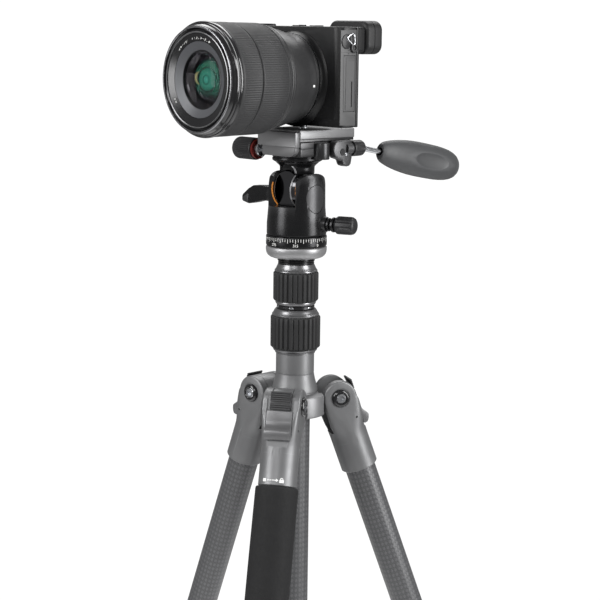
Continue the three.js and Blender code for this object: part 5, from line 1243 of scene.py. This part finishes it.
bolt = cut(turned("bracket_screw", [(1.55, 4.2), (1.55, 4.9), (1.3, 5.15), (0.4, 5.2)], 28),
           turned("hexagon", [(0.8, 4.6), (0.8, 6)], 6))
settle(bolt, handle_place @ SCREW_SEAT)
dressed(bolt, bright_steel, "handle_bracket", "bright_steel", "handle_bracket")

collet = ribbed("handle_collet_nut", [
    (4.75, 9.9), (5.3, 9.9), (5.55, 10.3), (5.6, 11.0), (5.6, 12.0), (5.6, 18.6), (5.4, 19.4),
    (4.9, 20.2), (4.2, 20.9), (2.3, 21.0), (2.3, 15.4), (4.75, 15.3)], 9, 0.55, 11.5, 19.0,
    duty=1)
settle(collet, handle_place @ AXIS_SHIFT @ ALONG_Y)
dressed(collet, black_plastic, "handle_collet", "black_plastic", "handle_collet")

ROD_SLOPE = radians(10.5)
grip_at = Vector((ROD_X, 39.0, 1 - 18 * tan(radians(14))))
grip_way = Vector((0, cos(ROD_SLOPE), -sin(ROD_SLOPE)))
bpy.ops.curve.primitive_bezier_curve_add()
wire = bpy.context.object
wire.data.splines.clear()
spline = wire.data.splines.new("POLY")
bend = ((8.3, 0), (17, 0), (20, -0.12), (22.5, -0.5), (25, -1.0), (32, -2.35))
route = [Vector((ROD_X, y, z)) for y, z in bend]
route += [grip_at, grip_at + grip_way * 12, grip_at + grip_way * 30]
spline.points.add(len(route) - 1)
for point, spot in zip(spline.points, route):
    point.co = (*spot, 1)
wire.data.bevel_depth = 1.9
wire.data.bevel_resolution = 7
wire.data.use_fill_caps = True
wire.data.dimensions = "3D"
hold(wire)
bpy.ops.object.convert(target="MESH")
wire = bpy.context.object
wire.name = "handle_steel_rod"
settle(wire, handle_place)
dressed(wire, bright_steel, "handle", "bright_steel", "handle_rod")

PADDLE_HALF = 12.5
PADDLE_FLATNESS = 17 / 25
THUMB_AT = 48
paddle_rings = [(3.2, 0.0), (4.6, 0.0), (5.6, 0.5), (6.6, 1.6), (7.5, 3.2), (8.4, 6.0), (9.3, 9.5),
                (10.2, 14.0), (11.0, 19.0), (11.7, 25.0), (12.2, 31.0), (12.45, 38.0),
                (12.5, 45.0), (12.45, 52.0), (12.3, 59.0), (11.9, 65.0), (11.2, 70.5),
                (10.1, 75.0), (8.6, 78.6), (6.6, 81.2), (4.4, 82.5), (2.2, 82.95), (0.5, 83.0)]
paddle = turned("handle_paddle", paddle_rings, 72)
hold(paddle)
bpy.ops.object.mode_set(mode="EDIT")
bpy.ops.mesh.select_all(action="SELECT")
bpy.ops.transform.resize(value=(PADDLE_FLATNESS, 1, 1), center_override=(0, 0, 0))
bpy.ops.object.mode_set(mode="OBJECT")


def thumb_rest(hand):
    """The thumb rest's rounded room, on one side of the paddle."""
    bpy.ops.mesh.primitive_uv_sphere_add(segments=56, ring_count=28, radius=1)
    oval = settle(bpy.context.object, Matrix.Diagonal((3.1, 7.6, 20.5, 1)))
    depth = PADDLE_FLATNESS * PADDLE_HALF + 1.1
    return settle(oval, Matrix.Translation((hand * depth, 0, THUMB_AT)))


paddle = cut(paddle, thumb_rest(1), thumb_rest(-1), turned("mouth", [(3.0, -1), (3.0, 6)], 36))
softened(paddle, 0.5, 20, 3)
paddle_tilt = Matrix.Rotation(-pi / 2 - ROD_SLOPE, 4, "X")
settle(paddle, Matrix.Translation(grip_at) @ paddle_tilt)
settle(paddle, handle_place)
soft_rubber = finish("soft_grey_rubber", (0.040, 0.041, 0.043), 0.52, tone=0.15, grain=1100,
                     bump=0.35, depth=0.03, worn=0.15)
dressed(paddle, soft_rubber, "handle", "soft_grip", "handle_grip", smooth=40)

# ---- camera body ----
# Two magnesium shells in black crackle paint, split behind the lens. The front shell has
# the hand grip and the lens mount; its right edge turns back to a side panel, whose satin
# grey is painted light from the lamp on that side.
camera_place = foot_of("camera_body")
LEFT, RIGHT = -75.5, 44.5
TOP = 67.0
FRONT = -3.5
crackle = finish("black_crackle", (0.006, 0.006, 0.0065), 0.42, tone=0.2, shine=0.30, mottle=120,
                 grain=2600, bump=0.45, depth=0.02, gloss=0.07, worn=0.2)
front_shell = slab("camera_front_shell", [
    (LEFT + 4, 11.1), (LEFT, 8), (LEFT, FRONT + 3), (LEFT + 2, FRONT)]
    + arc(RIGHT - 7.5, FRONT + 7.5, 7.5, -90, -28, 14) + [(RIGHT - 0.35, 5.2), (RIGHT - 0.3, 11.1)],
    0.1, TOP, 1.1, 3)
grip_block = slab("grip", [
    (LEFT, 1.0), (LEFT, -15)] + arc(LEFT + 8.5, -15, 8.5, 180, 270, 10)
    + arc(LEFT + 15, -16.5, 7.0, -90, -20, 8) + [(LEFT + 22.2, -9), (LEFT + 24.5, -4.4), (LEFT + 28, -3.0),
                                                (LEFT + 28, 1)],
    1.0, 60.4, 2.2, 4)
front_shell = fused(front_shell, grip_block)
MOUNT_HEIGHT = 32
MOUNT_SHIFT = Matrix.Translation((0, 0, MOUNT_HEIGHT))
FORWARD = Matrix.Rotation(pi / 2, 4, "X")  # a turned piece's height runs forwards, to -Y
mount_boss = settle(turned("mount_boss", [
    (33.0, 2.4), (32.6, 3.9), (31.8, 4.6), (31.2, 5.2), (30.6, 7.4), (30.4, 8.3), (22, 8.4), (22, 2)],
    128, hollow=True), MOUNT_SHIFT @ FORWARD)
chin = slab("chin", [(FRONT - 3, -1), (FRONT + 4.2, -1), (FRONT - 0.4, 7.2), (FRONT - 3, 7.2)], LEFT + 26,
            RIGHT + 3)
front_shell = cut(
    front_shell,
    settle(chin, SIDEWAYS),
    brick(LEFT + 6, RIGHT - 2.6, FRONT + 2, 14, 6, TOP - 6),
    settle(turned("throat", [(22, 0), (22, 9)], 72), MOUNT_SHIFT @ FORWARD),
    brick(RIGHT - 1.3, RIGHT + 2, -0.7, 10.3, 10.7, 48.3),
    settle(turned("button_well", [(4.8, 58.2), (4.8, 64)], 40), Matrix.Translation((-64, -14.5, 0))),
    settle(turned("dial_well", [(6.5, TOP - 3), (6.5, TOP + 4)], 48), Matrix.Translation((-36, 3.6, 0))),
    settle(turned("dial_well", [(5.7, TOP - 3), (5.7, TOP + 4)], 48), Matrix.Translation((-60, 3.6, 0))),
)
front_shell = joined("camera_front_shell", front_shell, mount_boss)
settle(front_shell, camera_place)
dressed(front_shell, crackle, "camera", "camera_shell", "camera_body")

mount_ring = turned("lens_mount_ring", [
    (24, 8.45), (30.1, 8.45), (30.3, 8.6), (30.3, 8.68), (24, 8.7)], 128, hollow=True)
settle(mount_ring, MOUNT_SHIFT @ FORWARD)
settle(mount_ring, camera_place)
dressed(mount_ring, bright_steel, "camera", "bright_steel", "camera_body")

# ---- grip leatherette ----
# The hand grip is wrapped in a glued sheet of black leatherette with a deep pebble. It stops
# short of the shell's top and foot.
leatherette = finish("pebbled_leatherette", (0.014, 0.014, 0.014), 0.55, tone=0.15, grain=1000,
                     bump=0.8, depth=0.12, kind="VORONOI")
wrap = slab("grip_leatherette", [
    (LEFT + 0.02, -1.6), (LEFT + 0.02, -15)] + arc(LEFT + 8.5, -15, 8.48, 180, 270, 10)
    + arc(LEFT + 15, -16.5, 6.98, -90, -20, 8)
    + [(LEFT + 21.0, -10), (LEFT + 19, -9), (LEFT + 4, -1.6)],
    6, 55, 0.25, 2)
settle(wrap, camera_place @ Matrix.Translation((0, -0.02, 0)))  # just proud of the shell
dressed(wrap, leatherette, "camera", "camera_shell", "camera_body")

# ---- side panel ----
# A pressed panel closes the camera's left side. Its satin grey is painted light: the black
# paint made lighter where the side lamp falls. The port door is let into it below, and the
# strap lug is screwed on above.
# Painted light: this grey is the black paint made lighter where the lamp on that side falls.
grey_with_painted_light = finish("side_grey_with_painted_light", (0.070, 0.070, 0.071), 0.46, shine=0.35, tone=0.12,
                    mottle=90, grain=2600, bump=0.4, depth=0.015, gloss=0.06)
side_panel = settle(slab("camera_side_panel", [
    (-3.6, 2), (11.0, 1.4), (11.0, 65.2), (-3.6, 64.6)],
    RIGHT - 0.32, RIGHT - 0.02, 0.12), SIDEWAYS)
side_panel = cut(side_panel, brick(RIGHT - 3, RIGHT + 2, -0.6, 10.2, 10.8, 48.2),
                 brick(RIGHT - 0.2, RIGHT + 2, -4, 12, 50.0, 50.25))
settle(side_panel, camera_place)
dressed(side_panel, grey_with_painted_light, "camera", "camera_shell", "camera_body")

# ---- rear shell ----
# The second magnesium shell closes the back, in the same crackle paint. The finder's housing
# stands out behind it, and a round well takes the rear dial.
rear_dial_place = Matrix.Translation((-60, 0, 30)) @ FORWARD
rear_shell = slab("camera_rear_shell", [
    (LEFT + 4, 11.5), (LEFT + 0.4, 11.5), (LEFT + 1.6, 14.4), (LEFT + 4, 14.98),
    (RIGHT - 2.4, 14.98), (RIGHT - 0.6, 14.2), (RIGHT - 0.1, 13.0), (RIGHT - 0.1, 11.5)],
    0.3, TOP - 0.1, 0.6, 2)
finder = settle(slab("finder", rounded(10, RIGHT - 0.5, 50, TOP - 0.02, 2.2), -19.5, -11.6, 0.7, 3),
                UPRIGHT)
rear_shell = fused(rear_shell, finder)
rear_shell = cut(rear_shell, brick(15, 39, 16.8, 30, 52.9, 63.9, 1.2),
                 settle(turned("well", [(8.45, -14.2), (8.45, -20)], 40), rear_dial_place))
settle(rear_shell, camera_place)
dressed(rear_shell, crackle, "camera", "camera_shell", "camera_back")

# ---- rear buttons and shoe ----
# Moulded black buttons stand round a ring dial on the back. On top, the accessory shoe is a
# plate with two rails and a stop, in black anodised metal.
buttons = [settle(turned("button", [(2.1, -14.4), (2.1, -15.5), (1.8, -15.8), (0.3, -15.8)], 28),
                  Matrix.Translation((x, 0, z)) @ FORWARD)
           for x, z in ((-47.5, 50), (-67, 48), (-48, 13), (-68, 12), (-57, 55))]
dial_ring = settle(turned("rear_dial", [
    (3.4, -14.3), (8.1, -14.3), (8.1, -15.5), (7.7, -16.1), (7.0, -16.3), (4.6, -16.2), (3.4, -15.9)],
    56, hollow=True), rear_dial_place)
ok_button = settle(turned("ok", [(3.1, -14.4), (3.1, -15.9), (2.7, -16.2), (0.3, -16.2)], 36),
                   rear_dial_place)
controls = joined("camera_buttons", *buttons, dial_ring, ok_button)
settle(controls, camera_place)
dressed(controls, black_plastic, "camera", "black_plastic", "camera_back")

shoe = joined(
    "accessory_shoe",
    brick(-9.6, 9.6, 2.0, 14.0, TOP - 0.3, TOP + 0.12, 0.05),
    brick(-9.6, -7.4, 3.0, 14.0, TOP + 0.1, TOP + 0.65, 0.1),
    brick(7.4, 9.6, 3.0, 14.0, TOP + 0.1, TOP + 0.65, 0.1),
    brick(-2.6, 2.6, 2.2, 4.4, TOP + 0.1, TOP + 0.9, 0.2),
)
settle(shoe, camera_place)
dressed(shoe, black_metal, "camera", "black_metal", "camera_body")

# ---- eyecup and finder window ----
# A deep hood of soft moulded rubber, with a groove round it, is pushed onto the finder. The
# finder's own window of dark glass sits at the bottom of it.
EYE_X, EYE_Z = 27.0, 59.9
eyecup = slab("finder_eyecup", rounded(EYE_X - 19, EYE_X + 19, EYE_Z - 11.2, EYE_Z + 11.2, 6.5, 10),
              -35.3, -19.8, 2.6, 5)
eyecup = settle(eyecup, UPRIGHT)
eyecup = cut(
    eyecup,
    settle(slab("eye_recess", rounded(EYE_X - 13.6, EYE_X + 13.6, EYE_Z - 6.4, EYE_Z + 6.4, 5, 8),
                -40, -30.5, 0.8, 2), UPRIGHT),
    settle(slab("eye_window", rounded(EYE_X - 8, EYE_X + 8, EYE_Z - 5, EYE_Z + 4, 2.5, 6),
                -32, -15), UPRIGHT),
)
groove = standing("groove", rounded(EYE_X - 30, EYE_X + 30, EYE_Z - 30, EYE_Z + 30, 3), 26.8, 27.3)
groove_floor = standing(
    "groove_floor", rounded(EYE_X - 18.5, EYE_X + 18.5, EYE_Z - 10.7, EYE_Z + 10.7, 6.1, 10), 26, 28)
eyecup = cut(eyecup, cut(groove, groove_floor))
settle(eyecup, camera_place)
eyecup_rubber = finish("eyecup_rubber", (0.010, 0.010, 0.0105), 0.48, shine=0.3, tone=0.15,
                       grain=1500, bump=0.2, depth=0.02, worn=0.1)
dressed(eyecup, eyecup_rubber, "camera", "black_rubber", "eyecup")
window = settle(slab("finder_window", rounded(EYE_X - 8.6, EYE_X + 8.6, EYE_Z - 5.4, EYE_Z + 3.9, 2.2),
                     -18.4, -17.4, 0.3), UPRIGHT)
settle(window, camera_place)
dark_glass = finish("dark_glass", (0.006, 0.006, 0.008), 0.06, tone=0.2, grain=300, bump=0.01,
                    depth=0.005, gloss=0.02, coat=0.6)
dressed(window, dark_glass, "camera", "screen_glass", "camera_back")

# ---- rear screen ----
# A tilting panel: dark glass bonded into a slim painted frame. Two moulded hinge knuckles
# stand beside it on the rear shell.
screen = settle(slab("screen_frame", rounded(-40, 34, 2.0, 46.0, 2.5), -18.95, -15.35, 0.6, 3), UPRIGHT)
screen = cut(screen, settle(slab("glass_room", rounded(-36.6, 30.6, 5.2, 42.8, 1), -20, -18.5), UPRIGHT))
settle(screen, camera_place)
dressed(screen, grey_with_painted_light, "screen", "camera_shell", "screen")
glass = settle(slab("screen_glass_pane", rounded(-36.4, 30.4, 5.4, 42.6, 0.9),
                    -18.85, -18.45, 0.15), UPRIGHT)
settle(glass, camera_place)
dressed(glass, dark_glass, "screen", "screen_glass", "screen")
knuckles = joined("screen_hinges", brick(34.2, 37.6, 15.1, 18.6, 3, 9.5, 0.4),
                  brick(34.2, 37.6, 15.1, 18.6, 38.5, 45, 0.4))
settle(knuckles, camera_place)
dressed(knuckles, black_plastic, "camera", "black_plastic", "camera_back")

# ---- port door and side fittings ----
# A painted door with a finger slot covers the ports, in the side panel's grey with its
# painted light. Above it are a turned strap lug with a moulded tab, two small screw heads,
# and a bent ring of bright steel wire for a strap.
door = settle(slab("door_leaf", rounded(-0.35, 9.95, 11.05, 47.95, 0.8), RIGHT - 1.0, RIGHT - 0.02, 0.12),
              SIDEWAYS)
door = cut(door, brick(RIGHT - 0.7, RIGHT + 1, 6.2, 7.6, 14, 31),
           brick(RIGHT - 0.25, RIGHT + 1, 1.3, 1.55, 12, 47),
           brick(RIGHT - 0.25, RIGHT + 1, 3.4, 9.2, 44.8, 45.0))
settle(door, camera_place)
dressed(door, grey_with_painted_light, "port_door", "camera_shell", "port_door")
dots = [settle(turned("dot", [(0.5, -0.3), (0.5, 0.08), (0.3, 0.12)], 20),
               Matrix.Translation((RIGHT, y, z)) @ Matrix.Rotation(pi / 2, 4, "Y"))
        for y, z in ((3.6, 49.3), (3.6, 51.6))]
lug_boss = settle(turned("lug", [
    (3.3, -1), (3.3, 0.9), (3.0, 1.4), (2.3, 1.6), (1.5, 1.5), (1.3, 0.6), (0.3, 0.5)], 40),
    Matrix.Translation((RIGHT, 8.2, 53.2)) @ Matrix.Rotation(pi / 2, 4, "Y"))
tab = settle(slab("tab", [
    (-3.2, 57.6), (-2.2, 54.2), (0.4, 52.4), (3.2, 52.6), (4.6, 54.8), (5.4, 58.6), (4.2, 61.6),
    (1.4, 62.4), (-1.6, 60.8)], RIGHT - 0.4, RIGHT + 0.75, 0.3), SIDEWAYS)
side_black = joined("camera_side_fittings", lug_boss, tab, *dots)
settle(side_black, camera_place)
dressed(side_black, black_plastic, "camera", "black_plastic", "camera_body")
ring_points = [(2.0, 60.6), (6.6, 62.6), (8.0, 61.4), (8.4, 56.4), (7.6, 55.0), (6.4, 55.6), (1.2, 59.2)]
bpy.ops.curve.primitive_bezier_circle_add()
loop = bpy.context.object
loop.data.splines.clear()
spline = loop.data.splines.new("NURBS")
spline.points.add(len(ring_points) - 1)
for point, (y, z) in zip(spline.points, ring_points):
    point.co = (RIGHT + 1.15, y, z, 1)
spline.use_cyclic_u = True
spline.order_u = 3
loop.data.bevel_depth = 0.48
loop.data.bevel_resolution = 3
hold(loop)
bpy.ops.object.convert(target="MESH")
loop = bpy.context.object
loop.name = "strap_ring"
settle(loop, camera_place)
dressed(loop, bright_steel, "camera", "bright_steel", "camera_body")

# ---- top controls ----
# A polished release button stands on the grip. Behind it, the mode dial and the control dial
# are turned from black metal and knurled; each sits in its own well.
button = turned("release_button", [
    (0.4, 0.0), (4.2, 0.0), (4.35, 0.3), (4.35, 2.3), (4.0, 2.9), (3.2, 3.2), (2.2, 3.1),
    (0.4, 3.0)], 48)
button_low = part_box("shutter_button")[0].z
settle(button, Matrix.Translation((column_axis.x - 0.064, column_axis.y - 0.0145, button_low)) @ MM)
dressed(button, bright_steel, "shutter_button", "bright_steel", "shutter_button")
for name, radius, x, ribs in (("mode_dial", 6.2, -36, 32), ("control_dial", 5.4, -60, 28)):
    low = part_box(name)[0]
    dial = ribbed(name + "_knurled", [
        (0.4, 0.0), (radius - 0.3, 0.0), (radius, 0.3), (radius, 3.2), (radius - 0.15, 3.6),
        (radius - 0.7, 4.05), (radius - 1.6, 4.1), (radius - 1.9, 3.9), (0.4, 3.9)], ribs, 0.3,
        0.2, 3.3, hollow=False)
    settle(dial, Matrix.Translation((column_axis.x + x / 1000, column_axis.y + 0.0036, low.z)) @ MM)
    dressed(dial, black_metal, name, "black_metal", name)

# ---- sensor board and battery ----
# The sensor's green circuit board stands behind the mount and the battery's grey plastic
# shell fills the grip. Both are plain blocks inside the shells, out of sight.
for paint_name, colour, node in (("board_green", (0.02, 0.10, 0.04), "sensor_board"),
                                 ("battery_grey", (0.06, 0.065, 0.07), "battery")):
    frame["nodes"][node].data.materials.clear()
    frame["nodes"][node].data.materials.append(finish(paint_name, colour, 0.5, tone=0.3, mottle=400))

# ---- lens ----
# A standard zoom. The satin black barrel carries two rubber rings with fine ribs cut along
# the lens, and a stepped gloss-black front ring that moves out when it zooms.
lens_place = camera_place @ MOUNT_SHIFT @ FORWARD
satin_black = finish("satin_black", (0.034, 0.034, 0.035), 0.36, metal=0.25, tone=0.12, grain=1800,
                     bump=0.15, depth=0.012, worn=0.2)
barrel = turned("lens_barrel_shell", [
    (21.0, 9.05), (29.9, 9.05), (30.2, 9.3), (30.2, 10.6), (30.0, 10.8), (30.0, 11.0), (30.3, 11.2),
    (30.6, 14.0), (31.0, 17.5), (31.5, 19.4), (32.4, 22.5), (33.3, 26.0), (34.1, 30.0), (34.7, 33.0),
    (34.9, 34.2), (34.7, 34.4), (34.7, 34.7), (35.1, 34.9), (35.9, 35.5), (36.0, 36.0),
    (36.0, 36.9), (35.7, 37.2), (35.7, 37.5), (36.0, 37.8), (36.0, 38.6), (35.7, 38.95),
    (33.0, 39.0), (33.0, 82.6), (31.7, 82.6), (31.7, 39.2), (21.0, 31.0)], 160, hollow=True)
settle(barrel, lens_place)
dressed(barrel, satin_black, "camera", "black_plastic", "lens_barrel")
dot = settle(turned("lens_index_dot", [(0.9, 30.55), (0.9, 30.85), (0.6, 30.95), (0.2, 30.97)], 24),
             Matrix.Rotation(radians(-8), 4, "Z") @ Matrix.Rotation(pi / 2, 4, "Y"))
settle(dot, Matrix.Translation((0, 0, 14.2)))
settle(dot, lens_place)
dressed(dot, white_fill, "camera", "black_plastic", "lens_barrel")

rib_rubber = finish("lens_rubber", (0.026, 0.026, 0.027), 0.52, shine=0.35, tone=0.10,
                    grain=1400, bump=0.2, depth=0.02, worn=0.1)
zoom = ribbed("zoom_rubber", [
    (33.5, 39.4), (36.0, 39.4), (36.5, 39.6), (36.8, 40.1), (36.9, 41.0), (36.4, 41.5),
    (36.4, 42.0), (36.95, 42.6), (37.05, 52.0), (37.15, 63.4), (37.05, 64.2), (36.8, 64.9),
    (36.4, 65.05), (33.5, 65.05)], 150, 0.32, 42.5, 63.9)
settle(zoom, lens_place)
dressed(zoom, rib_rubber, "zoom_ring", "black_rubber", "zoom_ring", smooth=50)
focus = ribbed("focus_rubber", [
    (33.5, 65.45), (36.6, 65.45), (37.0, 65.7), (37.25, 66.2), (37.3, 67.0), (37.35, 74.0),
    (37.45, 80.4), (37.5, 81.2), (37.4, 82.0), (37.1, 82.6), (33.5, 82.65)], 150, 0.32, 66.9, 80.9)
settle(focus, lens_place)
dressed(focus, rib_rubber, "focus_ring", "black_rubber", "focus_ring", smooth=50)

bezel = turned("front_gloss_ring", [
    (31.1, 57.0), (31.1, 82.95), (37.5, 82.98), (37.85, 83.3), (37.88, 84.4), (37.75, 85.2),
    (37.4, 85.6), (36.9, 85.75), (36.8, 86.0), (36.7, 87.0), (36.2, 87.5), (35.8, 87.7),
    (35.6, 88.2), (35.35, 89.4), (34.9, 90.2), (34.5, 90.6), (33.3, 90.7), (33.2, 89.6),
    (32.4, 88.9), (31.6, 88.8), (31.5, 90.2), (31.3, 90.45), (30.6, 90.45), (30.3, 90.2),
    (30.2, 89.8), (24.9, 88.7), (24.8, 86.4), (19.2, 85.6), (19.2, 83.0), (29.1, 81), (29.1, 57.0)],
    160, hollow=True)
settle(bezel, lens_place)
dressed(bezel, gloss_black, "front_group", "black_plastic", "front_bezel")
# The bright ring on the front edge is a painted highlight: a light metal ring for the light on the bezel's
# front chamfer.
bright_lip = turned("front_bright_lip", [
    (33.25, 90.55), (34.75, 90.35), (34.6, 90.75), (34.3, 91.0), (33.9, 91.08), (33.5, 91.0)],
    160, hollow=True)
settle(bright_lip, lens_place)
lip_painted_highlight = finish("front_lip_painted_highlight", (0.26, 0.26, 0.27), 0.25, metal=1.0, tone=0.06, grain=1400,
                   bump=0.1, depth=0.01)
dressed(bright_lip, lip_painted_highlight, "front_group", "bright_steel", "front_bezel")
inner_lip = turned("front_inner_lip", [
    (30.25, 89.85), (31.2, 90.3), (31.15, 90.6), (30.75, 90.75), (30.35, 90.5)], 160, hollow=True)
settle(inner_lip, lens_place)
dressed(inner_lip, dark_ring, "front_group", "dark_metal", "front_bezel")
cone = turned("front_grey_cone", [
    (19.3, 86.15), (24.75, 88.55), (24.75, 88.3), (24.7, 86.5), (19.3, 85.7)], 160, hollow=True)
settle(cone, lens_place)
cone_grey = finish("satin_cone_grey", (0.072, 0.074, 0.080), 0.40, metal=0.2, shine=0.35,
                   tone=0.05, grain=1800, bump=0.12, depth=0.01)
dressed(cone, cone_grey, "front_group", "grey_plate", "front_bezel")
glass_seat = turned("front_glass_seat", [
    (18.0, 84.6), (19.15, 84.6), (19.2, 85.55), (18.9, 86.25), (18.6, 86.3), (18.5, 85.8),
    (18.2, 85.8), (18.1, 86.0), (18.0, 85.5)], 128, hollow=True)
settle(glass_seat, lens_place)
dressed(glass_seat, gloss_black, "front_group", "black_metal", "front_bezel")

# ---- optics ----
# A domed front glass with a thin coat, and a green-coated group behind it in a black
# stepped throat. The green group and a yellow crescent carry painted reflections of the
# coats, in rings round the axis that fall away to black, and painted shade towards the foot.
DOME_RADIUS = 17.98
dome = turned("front_glass", [(0.3, 83.4), (17.0, 83.6), (17.95, 84.2)]
              + [(DOME_RADIUS * cos(t), 84.8 + 3.7 * sin(t)) for t in
                 (radians(d) for d in range(4, 90, 5))], 128)
settle(dome, lens_place)
coated = bpy.data.materials.new("coated_glass")
coated.use_nodes = True
tree = coated.node_tree
shader = tree.nodes["Principled BSDF"]
shader.inputs["Transmission Weight"].default_value = 1.0
shader.inputs["IOR"].default_value = 1.12
shader.inputs["Roughness"].default_value = 0.02
place = add_node(tree, "ShaderNodeTexCoord")
cloud = add_node(tree, "ShaderNodeTexNoise")
cloud.inputs["Scale"].default_value = 60
tree.links.new(place.outputs["Object"], cloud.inputs["Vector"])
tint = add_node(tree, "ShaderNodeMix", data_type="RGBA")
tint.inputs[6].default_value = (0.93, 0.90, 0.96, 1)
tint.inputs[7].default_value = (0.97, 0.96, 0.98, 1)
tree.links.new(cloud.outputs["Fac"], tint.inputs["Factor"])
tree.links.new(tint.outputs[2], shader.inputs["Base Color"])
dressed(dome, coated, "front_group", "lens_glass", "front_element")
throat = turned("lens_throat", [
    (18.0, 83.3), (17.6, 83.3), (16.6, 82.4), (16.6, 82.0), (15.9, 81.2), (15.9, 80.8),
    (15.2, 80.0), (15.2, 76.0), (0.4, 75.8), (0.4, 75.0), (18.0, 75.0)], 128, hollow=True)
settle(throat, lens_place)
dressed(throat, gloss_black, "front_group", "black_plastic", "front_element")


def painted_reflections(name, rings, radius, centre):
    """Coated glass with its reflections painted into the colour: rings by distance from the axis, and
    painted shade darkening it towards its foot.
    """
    paint = bpy.data.materials.new(name)
    paint.use_nodes = True
    tree = paint.node_tree
    shader = tree.nodes["Principled BSDF"]
    spot = add_node(tree, "ShaderNodeTexCoord")
    local = add_node(tree, "ShaderNodeMapping")
    local.inputs["Location"].default_value = [-value / radius for value in centre]
    local.inputs["Scale"].default_value = (1 / radius, 0.0, 1 / radius)
    tree.links.new(spot.outputs["Object"], local.inputs["Vector"])
    reach = add_node(tree, "ShaderNodeVectorMath", operation="LENGTH")
    tree.links.new(local.outputs["Vector"], reach.inputs[0])
    ripple = add_node(tree, "ShaderNodeTexNoise")
    ripple.inputs["Scale"].default_value = 160
    tree.links.new(spot.outputs["Object"], ripple.inputs["Vector"])
    blend = add_node(tree, "ShaderNodeMath", operation="MULTIPLY_ADD")
    blend.inputs[1].default_value = 0.10
    tree.links.new(ripple.outputs["Fac"], blend.inputs[0])
    tree.links.new(reach.outputs["Value"], blend.inputs[2])
    # The ramp's rings are painted reflections of the lamps in the coat.
    ramp = add_node(tree, "ShaderNodeValToRGB")
    first, last = ramp.color_ramp.elements
    first.position, first.color = rings[0][0], (*rings[0][1], 1)
    last.position, last.color = rings[-1][0], (*rings[-1][1], 1)
    for position, colour in rings[1:-1]:
        ramp.color_ramp.elements.new(position).color = (*colour, 1)
    tree.links.new(blend.outputs[0], ramp.inputs["Fac"])
    # Painted shade: the colour darkens to near black towards the bottom of the glass.
    split = add_node(tree, "ShaderNodeSeparateXYZ")
    tree.links.new(local.outputs["Vector"], split.inputs[0])
    shade = add_node(tree, "ShaderNodeMapRange")
    shade.inputs["From Min"].default_value = -0.75
    shade.inputs["From Max"].default_value = -0.25
    shade.inputs["To Min"].default_value = 0.04
    tree.links.new(split.outputs["Z"], shade.inputs["Value"])
    darker = add_node(tree, "ShaderNodeMix", data_type="RGBA")
    darker.inputs[6].default_value = (0.004, 0.004, 0.006, 1)
    tree.links.new(shade.outputs["Result"], darker.inputs["Factor"])
    tree.links.new(ramp.outputs["Color"], darker.inputs[7])
    tree.links.new(darker.outputs[2], shader.inputs["Base Color"])
    shader.inputs["Metallic"].default_value = 0.35
    shader.inputs["Roughness"].default_value = 0.22
    shader.inputs["Coat Weight"].default_value = 0.35
    shader.inputs["Coat Roughness"].default_value = 0.04
    return paint


lens_axis = Vector((column_axis.x, 0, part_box("camera_body")[0].z + MOUNT_HEIGHT / 1000))
group = turned("green_element", [(15.0, 76.2), (15.0, 77.0)]
               + [(15.0 * cos(t), 77.2 + 4.6 * sin(t)) for t in
                  (radians(d) for d in range(4, 90, 4))], 96)
settle(group, lens_place)
green = painted_reflections("green_painted_reflections", [
    (0.00, (0.05, 0.34, 0.24)), (0.18, (0.03, 0.25, 0.17)), (0.23, (0.008, 0.085, 0.055)),
    (0.30, (0.028, 0.22, 0.14)), (0.50, (0.016, 0.15, 0.095)), (0.56, (0.006, 0.05, 0.033)),
    (0.64, (0.018, 0.14, 0.08)), (0.84, (0.008, 0.07, 0.045)), (0.92, (0.004, 0.012, 0.012)),
    (0.98, (0.040, 0.016, 0.046)), (1.00, (0.006, 0.005, 0.008))],
    0.0150, lens_axis)
dressed(group, green, "front_group", "lens_glass", "front_element")
# A thin crescent in front of the green group carries a painted yellow reflection.
crescent = slab("painted_reflection_crescent", arc(-5.0, 1.0, 4.2, 105, 255, 20) + arc(-2.6, 1.0, 4.4, 246, 114, 20),
                82.15, 82.25)
crescent_place = lens_place @ Matrix.Translation((-1.0, 0, 0))
settle(crescent, crescent_place)
straw = painted_reflections("straw_painted_reflections", [(0.0, (0.34, 0.30, 0.12)), (1.0, (0.16, 0.15, 0.06))], 0.016,
                lens_axis)
dressed(crescent, straw, "front_group", "lens_glass", "front_element")

# ---- name ring ----
# White figures are printed on the sloping ring round the front glass: the zoom range with the
# largest openings above, the thread's size below. They follow the ring's curve.
RING_RADIUS = 27.2
RING_SLOPE = radians(-11.7)
LETTER_PITCH = 4.6
for name, words, middle in (("ring_range", "28-70  1:3.5-5.6", 100), ("ring_thread", "55", 212)):
    letters = []
    for place_in_row, letter in enumerate(words):
        if letter == " ":
            continue
        at = middle - (place_in_row - (len(words) - 1) / 2) * LETTER_PITCH
        letters.append(settle(
            lettering(letter, 3.1, 0.03, "CENTER"),
            Matrix.Rotation(radians(at - 90), 4, "Z") @ Matrix.Translation((0, RING_RADIUS, 89.3))
            @ Matrix.Rotation(RING_SLOPE, 4, "X")))
    row = joined(name, *letters)
    settle(row, lens_place)
    dressed(row, white_fill, "front_group", "black_plastic", "front_bezel")
